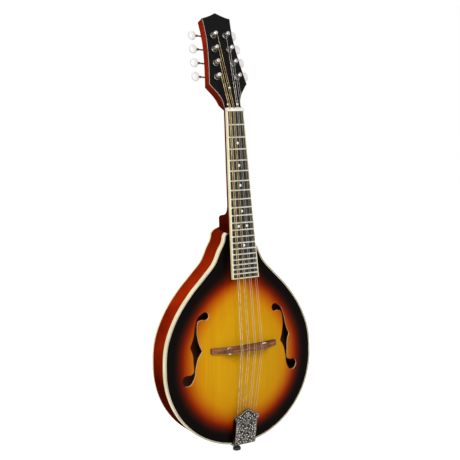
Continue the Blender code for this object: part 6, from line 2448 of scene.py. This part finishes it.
    def scroll(self, name: str, centre: Pair, size: float, start: float, turns: float,
               hand: float, radius: float) -> Piece:
        """A raised spiral on the cover's face.

        Args:
            name: The piece's name.
            centre: Its middle, across and along.
            size: Its outer radius.
            start: Its first bearing.
            turns: How many turns it makes.
            hand: 1 or -1 for the way it turns.
            radius: The wire's radius.

        Returns:
            The spiral.
        """
        route = []
        steps = max(int(26 * turns), 8)
        for step in range(steps + 1):
            share = step / steps
            angle = start + hand * TURN * turns * share
            reach = size * (1.0 - 0.88 * share ** 0.8)
            route.append(TAIL.point(centre[0] + reach * cos(angle),
                                    centre[1] + reach * sin(angle), self.out + self.wall))
        return tube(name, route, radius, 1)

    def engraving(self) -> None:
        """A border line and a mirrored growth of scrolls and leaves, half sunk in the face."""
        level = self.out + self.wall
        pieces = []
        for number, inset in enumerate((1.3 * MM, 2.4 * MM)):
            edge = [TAIL.point(x, along, level) for x, along in self.outline(inset)]
            pieces.append(tube(f"border_{number}", edge + edge[:1], (0.3 - 0.1 * number) * MM, 1))
        for number, (x, along, size, start, turns, hand) in enumerate(self.spirals):
            for side in (-1, 1):
                begin = start if side > 0 else pi - start
                pieces.append(self.scroll(f"scroll_{number}", (side * x * MM, along * MM),
                                          size * MM, begin, turns, hand * side, 0.36 * MM))
        stem = [TAIL.point(0.0, along * MM, level) for along in range(-29, 25, 3)]
        pieces.append(tube("stem", stem, 0.4 * MM, 1))
        dress(shade(joined("cover_beads", *self.beads(level)), 60.0), BEAD_NICKEL, body="cover")
        dress(joined("cover_chasing", *self.chasing(level)), CHASED, body="cover")
        dress(shade(joined("cover_engraving", *pieces), 60.0), SCROLL, body="cover")

    def beads(self, level: float) -> list[Piece]:
        """Small raised beads between the scrolls.

        Args:
            level: The cover's face, out of the tailpiece's axes.

        Returns:
            The beads.
        """
        model = lathe("bead", Vector(), Z_AXIS, X_AXIS,
                      [(-0.1 * MM, 0.8 * MM), (0.16 * MM, 0.72 * MM), (0.34 * MM, 0.4 * MM),
                       (0.38 * MM, 0.08 * MM)], 10)
        beads = []
        for number, (x, along) in enumerate(self.bead_spots):
            for side in (-1, 1):
                place = axes_matrix(TAIL, side * x * MM, along * MM, level)
                beads.append(copied(model, f"bead_{number}", place))
        bpy.data.objects.remove(model)
        return beads

    def chasing(self, level: float) -> list[Piece]:
        """Rows of small raised crescents that fill the ground, each turned a little further.

        Args:
            level: The cover's face, out of the tailpiece's axes.

        Returns:
            The crescents.
        """
        arc = [Vector((0.85 * MM * cos(a), 0.85 * MM * sin(a), 0.0))
               for a in (radians(-100.0 + 40.0 * step) for step in range(6))]
        model = tube("crescent", arc, 0.18 * MM, 0)
        rows, marks = int((self.shoulder + self.tail) / self.chase_pitch) - 1, []
        for row in range(rows):
            along = self.shoulder - (row + 0.8) * self.chase_pitch
            shift = 0.5 * (row % 2)
            for column in range(7):
                x = (column + shift + 0.35) * self.chase_pitch
                if x > self.half - 2.9 * MM:
                    continue
                for side in (-1, 1):
                    place = axes_matrix(TAIL, side * x, along, level)
                    turn = Matrix.Rotation(side * (1.9 * row + 2.3 * column), 4, "Z")
                    marks.append(copied(model, f"crescent_{row}", place @ turn))
        bpy.data.objects.remove(model)
        return marks

    def pin(self) -> None:
        """The turned end pin."""
        foot = BODY.point(0.0, PLAN.body_end - self.plate_thick - 0.3 * MM, -self.pin_y)
        knots = [(0.0, 6.0), (0.5, 6.15), (2.4, 5.9), (4.0, 4.5), (5.6, 3.7), (7.2, 4.2),
                 (8.8, 5.6), (10.4, 6.3), (11.6, 6.5), (12.8, 6.3), (13.6, 5.7), (14.0, 4.8)]
        run = smooth_curve(knots, 40)
        profile = [(-20.0 * MM, 2.9 * MM), (0.0, 3.6 * MM)]
        profile += [(p.x * MM, min(p.y, 6.5) * MM) for p in run]
        pin = shade(lathe("strap_pin", foot, -Z_AXIS, X_AXIS, profile, 48), 40.0)
        dress(pin, PIN_BLACK, "end_pin")

    def build(self) -> None:
        """Every piece of the tailpiece."""
        self.base()
        self.cover()
        self.engraving()
        self.pin()


@dataclass
class Strings:
    """Eight strings: each wound on its post, over nut and saddle, and looped on its hook."""

    diameters: tuple = (1.02 * MM, 0.70 * MM, 0.40 * MM, 0.30 * MM)
    nut_courses: tuple = (-10.0, -3.4, 3.4, 10.0)
    saddle_courses: tuple = (-17.3, -5.8, 5.8, 17.3)
    hook_courses: tuple = (-13.0, -4.6, 4.6, 13.0)
    nut_pair: float = 1.2
    saddle_pair: float = 1.5
    hook_pair: float = 2.1
    names: tuple = ("g", "d", "a", "e")
    over_nut: float = 1.4 * MM
    waist: float = 2.5 * MM
    waist_high: float = 8.8 * MM
    turns: float = 2.5
    points: int = 28
    nut_length: float = 5.5 * MM

    @staticmethod
    def place(index: int, courses: Sequence[float], pair: float) -> float:
        """The x of one of the eight strings."""
        return (courses[index // 2] + (-pair if index % 2 == 0 else pair)) * MM

    @staticmethod
    def tuner(index: int) -> Tuner:
        """The post that a string is wound on.

        Args:
            index: The string's number, from 0.

        Returns:
            The post.
        """
        course = index // 2
        bank = Bank.BASS if course < 2 else Bank.TREBLE
        outer = index % 2 == (0 if bank is Bank.BASS else 1)
        number = (0 if course in (0, 3) else 2) + (0 if outer else 1)
        return Tuner(bank, number)

    def winding(self, index: int, radius: float) -> list[Vector]:
        """The turns on the post, from the lowest up to where the string leaves.

        Args:
            index: The string's number, from 0.
            radius: The string's radius.

        Returns:
            The turns' points.
        """
        tuner = self.tuner(index)
        wind = self.waist + radius + 0.05 * MM
        back = self.nut_back(index, radius)
        flat = back - tuner.centre
        spot = Vector((flat.x, flat.dot(HEAD.along)))
        turn = -tuner.bank.value
        start = atan2(spot.y, spot.x) + turn * acos(wind / spot.length)
        pitch = 2.0 * radius + 0.06 * MM
        entry = self.waist_high - radius - 0.3 * MM
        turns = min(self.turns, (entry - 4.2 * MM) / pitch)
        steps = round(turns * self.points)
        return [tuner.centre + Vector((wind * cos(a), 0.0, 0.0)) + HEAD.along * (wind * sin(a))
                + HEAD.out * (entry - pitch * step / self.points)
                for step, a in ((s, start + turn * TURN * s / self.points)
                                for s in range(steps, -1, -1))]

    def nut_back(self, index: int, radius: float) -> Vector:
        """Where a string leaves the nut towards its post."""
        x = self.place(index, self.nut_courses, self.nut_pair)
        return NECK.point(x, PLAN.nut_along + self.nut_length + 0.4 * MM, self.over_nut + radius - 0.5 * MM)

    def wire(self, name: str, route: list[Vector], index: int) -> Piece:
        """One length of string with the distance along it kept for its winding.

        Args:
            name: The piece's name.
            route: The points that it follows.
            index: The string's number, from 0.

        Returns:
            The wire.
        """
        radius = 0.5 * self.diameters[index // 2]
        piece = tube(name, route, radius, 2)
        run = np.array([tuple(p) for p in route])
        steps = np.concatenate([[0.0], np.cumsum(np.linalg.norm(np.diff(run, axis=0), axis=1))])
        spots = corners(piece)
        nearest = [int(np.argmin(np.linalg.norm(run - spot, axis=1))) for spot in spots]
        write_values(piece, "run_mm", steps[nearest] / MM)
        return shade(piece, 60.0)

    def build(self) -> None:
        """Three lengths of each string, the middle one running from the nut to the saddle."""
        for index in range(8):
            course = index // 2
            finish = BRONZE if course < 2 else STRING_STEEL
            radius = 0.5 * self.diameters[course]
            label = f"{self.names[course]}_{index % 2 + 1}"
            front = NECK.point(self.place(index, self.nut_courses, self.nut_pair),
                               PLAN.nut_along, self.over_nut + radius)
            rest = BODY.point(self.place(index, self.saddle_courses, self.saddle_pair), BRIDGE_Z, STRING_OUT)
            head = self.wire(f"wound_end_{label}", self.winding(index, radius)
                             + [self.nut_back(index, radius), front], index)
            dress(head, DARK_BRONZE if course < 2 else finish)
            steps = 400 if course < 2 else 60
            span = self.wire(f"sounding_length_{label}",
                             [front.lerp(rest, s / steps) for s in range(steps + 1)], index)
            self.bend(span, finish, (ROOT, "saddle"), front, rest, f"string_{label}")
            hook = self.place(index, self.hook_courses, self.hook_pair)
            loop = 0.5 * MM + radius + 0.25 * MM
            ring = []
            for step in range(15):
                angle = radians(75.0 - 330.0 * step / 14.0)
                ring.append(TAIL.point(hook + loop * cos(angle), loop * sin(angle), 0.0))
            steps = 60 if course < 2 else 16
            tail = self.wire(f"tail_length_{label}",
                             [rest.lerp(ring[0], s / steps) for s in range(steps)] + ring, index)
            self.bend(tail, finish, ("saddle", ROOT), rest, ring[0])

    @staticmethod
    def bend(piece: Piece, finish: Finish, bodies: tuple[str, str], start: Vector, end: Vector,
             *stands_for: str) -> None:
        """Finish a length of string that runs between two bodies, attached to neither, with its place baked
        into its mesh.
        """
        dress(piece, finish, *stands_for, body=None)
        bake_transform(piece)


@dataclass
class Lamp:
    """A soft area light."""

    name: str
    spot: tuple
    aim: tuple
    size: float
    power: float
    colour: tuple = (1.0, 1.0, 1.0)

    def build(self) -> None:
        """Place the light and turn it to its aim."""
        take()
        bpy.ops.object.light_add(type="AREA", location=self.spot)
        lamp = bpy.context.object
        lamp.name = lamp.data.name = self.name
        lamp.data.size = self.size
        lamp.data.energy = self.power
        lamp.data.color = self.colour
        way = Vector(self.aim) - Vector(self.spot)
        lamp.rotation_euler = way.to_track_quat("-Z", "Y").to_euler()


@dataclass
class Studio:
    """Camera, soft light, and a pale floor under the instrument."""

    spot: tuple = (-0.6656, -1.199836, -0.028805)
    right: tuple = (0.87357004, -0.48640672, -0.01684891)
    down: tuple = (-0.07419218, -0.09887278, -0.99233044)
    ahead: tuple = (0.4810103, 0.8681202, -0.12245987)
    lens: float = 71.18
    world_light: float = 0.3
    floor_size: float = 8.0
    drop: float = 1.0 * MM
    lamps: tuple = (Lamp("front", (-0.6, -2.2, 1.1), (0.0, 0.0, -0.25), 1.1, 39.0),
                    Lamp("side", (-2.2, -0.7, 1.1), (0.0, 0.0, -0.3), 1.0, 13.0),
                    Lamp("back", (0.8, 2.0, 0.9), (0.0, 0.0, -0.3), 1.4, 14.0))

    def camera(self) -> None:
        """The camera at the photograph's viewing angle."""
        take()
        bpy.ops.object.camera_add(location=self.spot)
        camera = bpy.context.object
        camera.name = camera.data.name = "photo_view"
        turn = Matrix((self.right, [-v for v in self.down], [-v for v in self.ahead]))
        place = turn.transposed().to_4x4()
        place.translation = self.spot
        camera.matrix_world = place
        camera.data.lens = self.lens
        camera.data.sensor_width = 36.0
        camera.data.clip_start = 0.01
        camera.data.dof.use_dof = False
        bpy.context.scene.camera = camera

    def world(self) -> None:
        """Even light all round, which the camera and the reflections see as white."""
        world = bpy.data.worlds.new("studio")
        bpy.context.scene.world = world
        graph = Graph(world, "Background")
        level = graph.spread(graph.seen(), 0.0, 1.0, self.world_light, 1.0)
        graph.surface(Color=(1.0, 1.0, 1.0), Strength=level)

    def floor(self) -> None:
        """The pale floor, just under the lowest point."""
        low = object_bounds()[0][2]
        take()
        bpy.ops.mesh.primitive_plane_add(size=self.floor_size, location=(0.0, 0.0, low - self.drop))
        floor = bpy.context.object
        floor.name = floor.data.name = "studio_floor"
        bpy.ops.object.transform_apply(location=True, rotation=True, scale=True)
        floor.data.materials.append(FLOOR.material())
        floor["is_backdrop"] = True

    def build(self) -> None:
        """Set up the studio."""
        self.camera()
        self.world()
        self.floor()
        for lamp in self.lamps:
            lamp.build()
        bpy.context.scene.view_settings.view_transform = "Standard"


def main(frame: dict) -> None:
    """Build the whole instrument and its studio, and report on each piece.

    Args:
        frame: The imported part, as loaded.
    """
    logging.basicConfig(level=logging.INFO, format="%(name)s: %(message)s")
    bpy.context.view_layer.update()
    Body().build(frame)
    Neck().build()
    Head().build(frame)
    Fretboard().build()
    TunerBank().build()
    Bridge().build()
    Tailpiece().build()
    Strings().build()
    Studio().build()


if __name__ == "__main__":
    main(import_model())
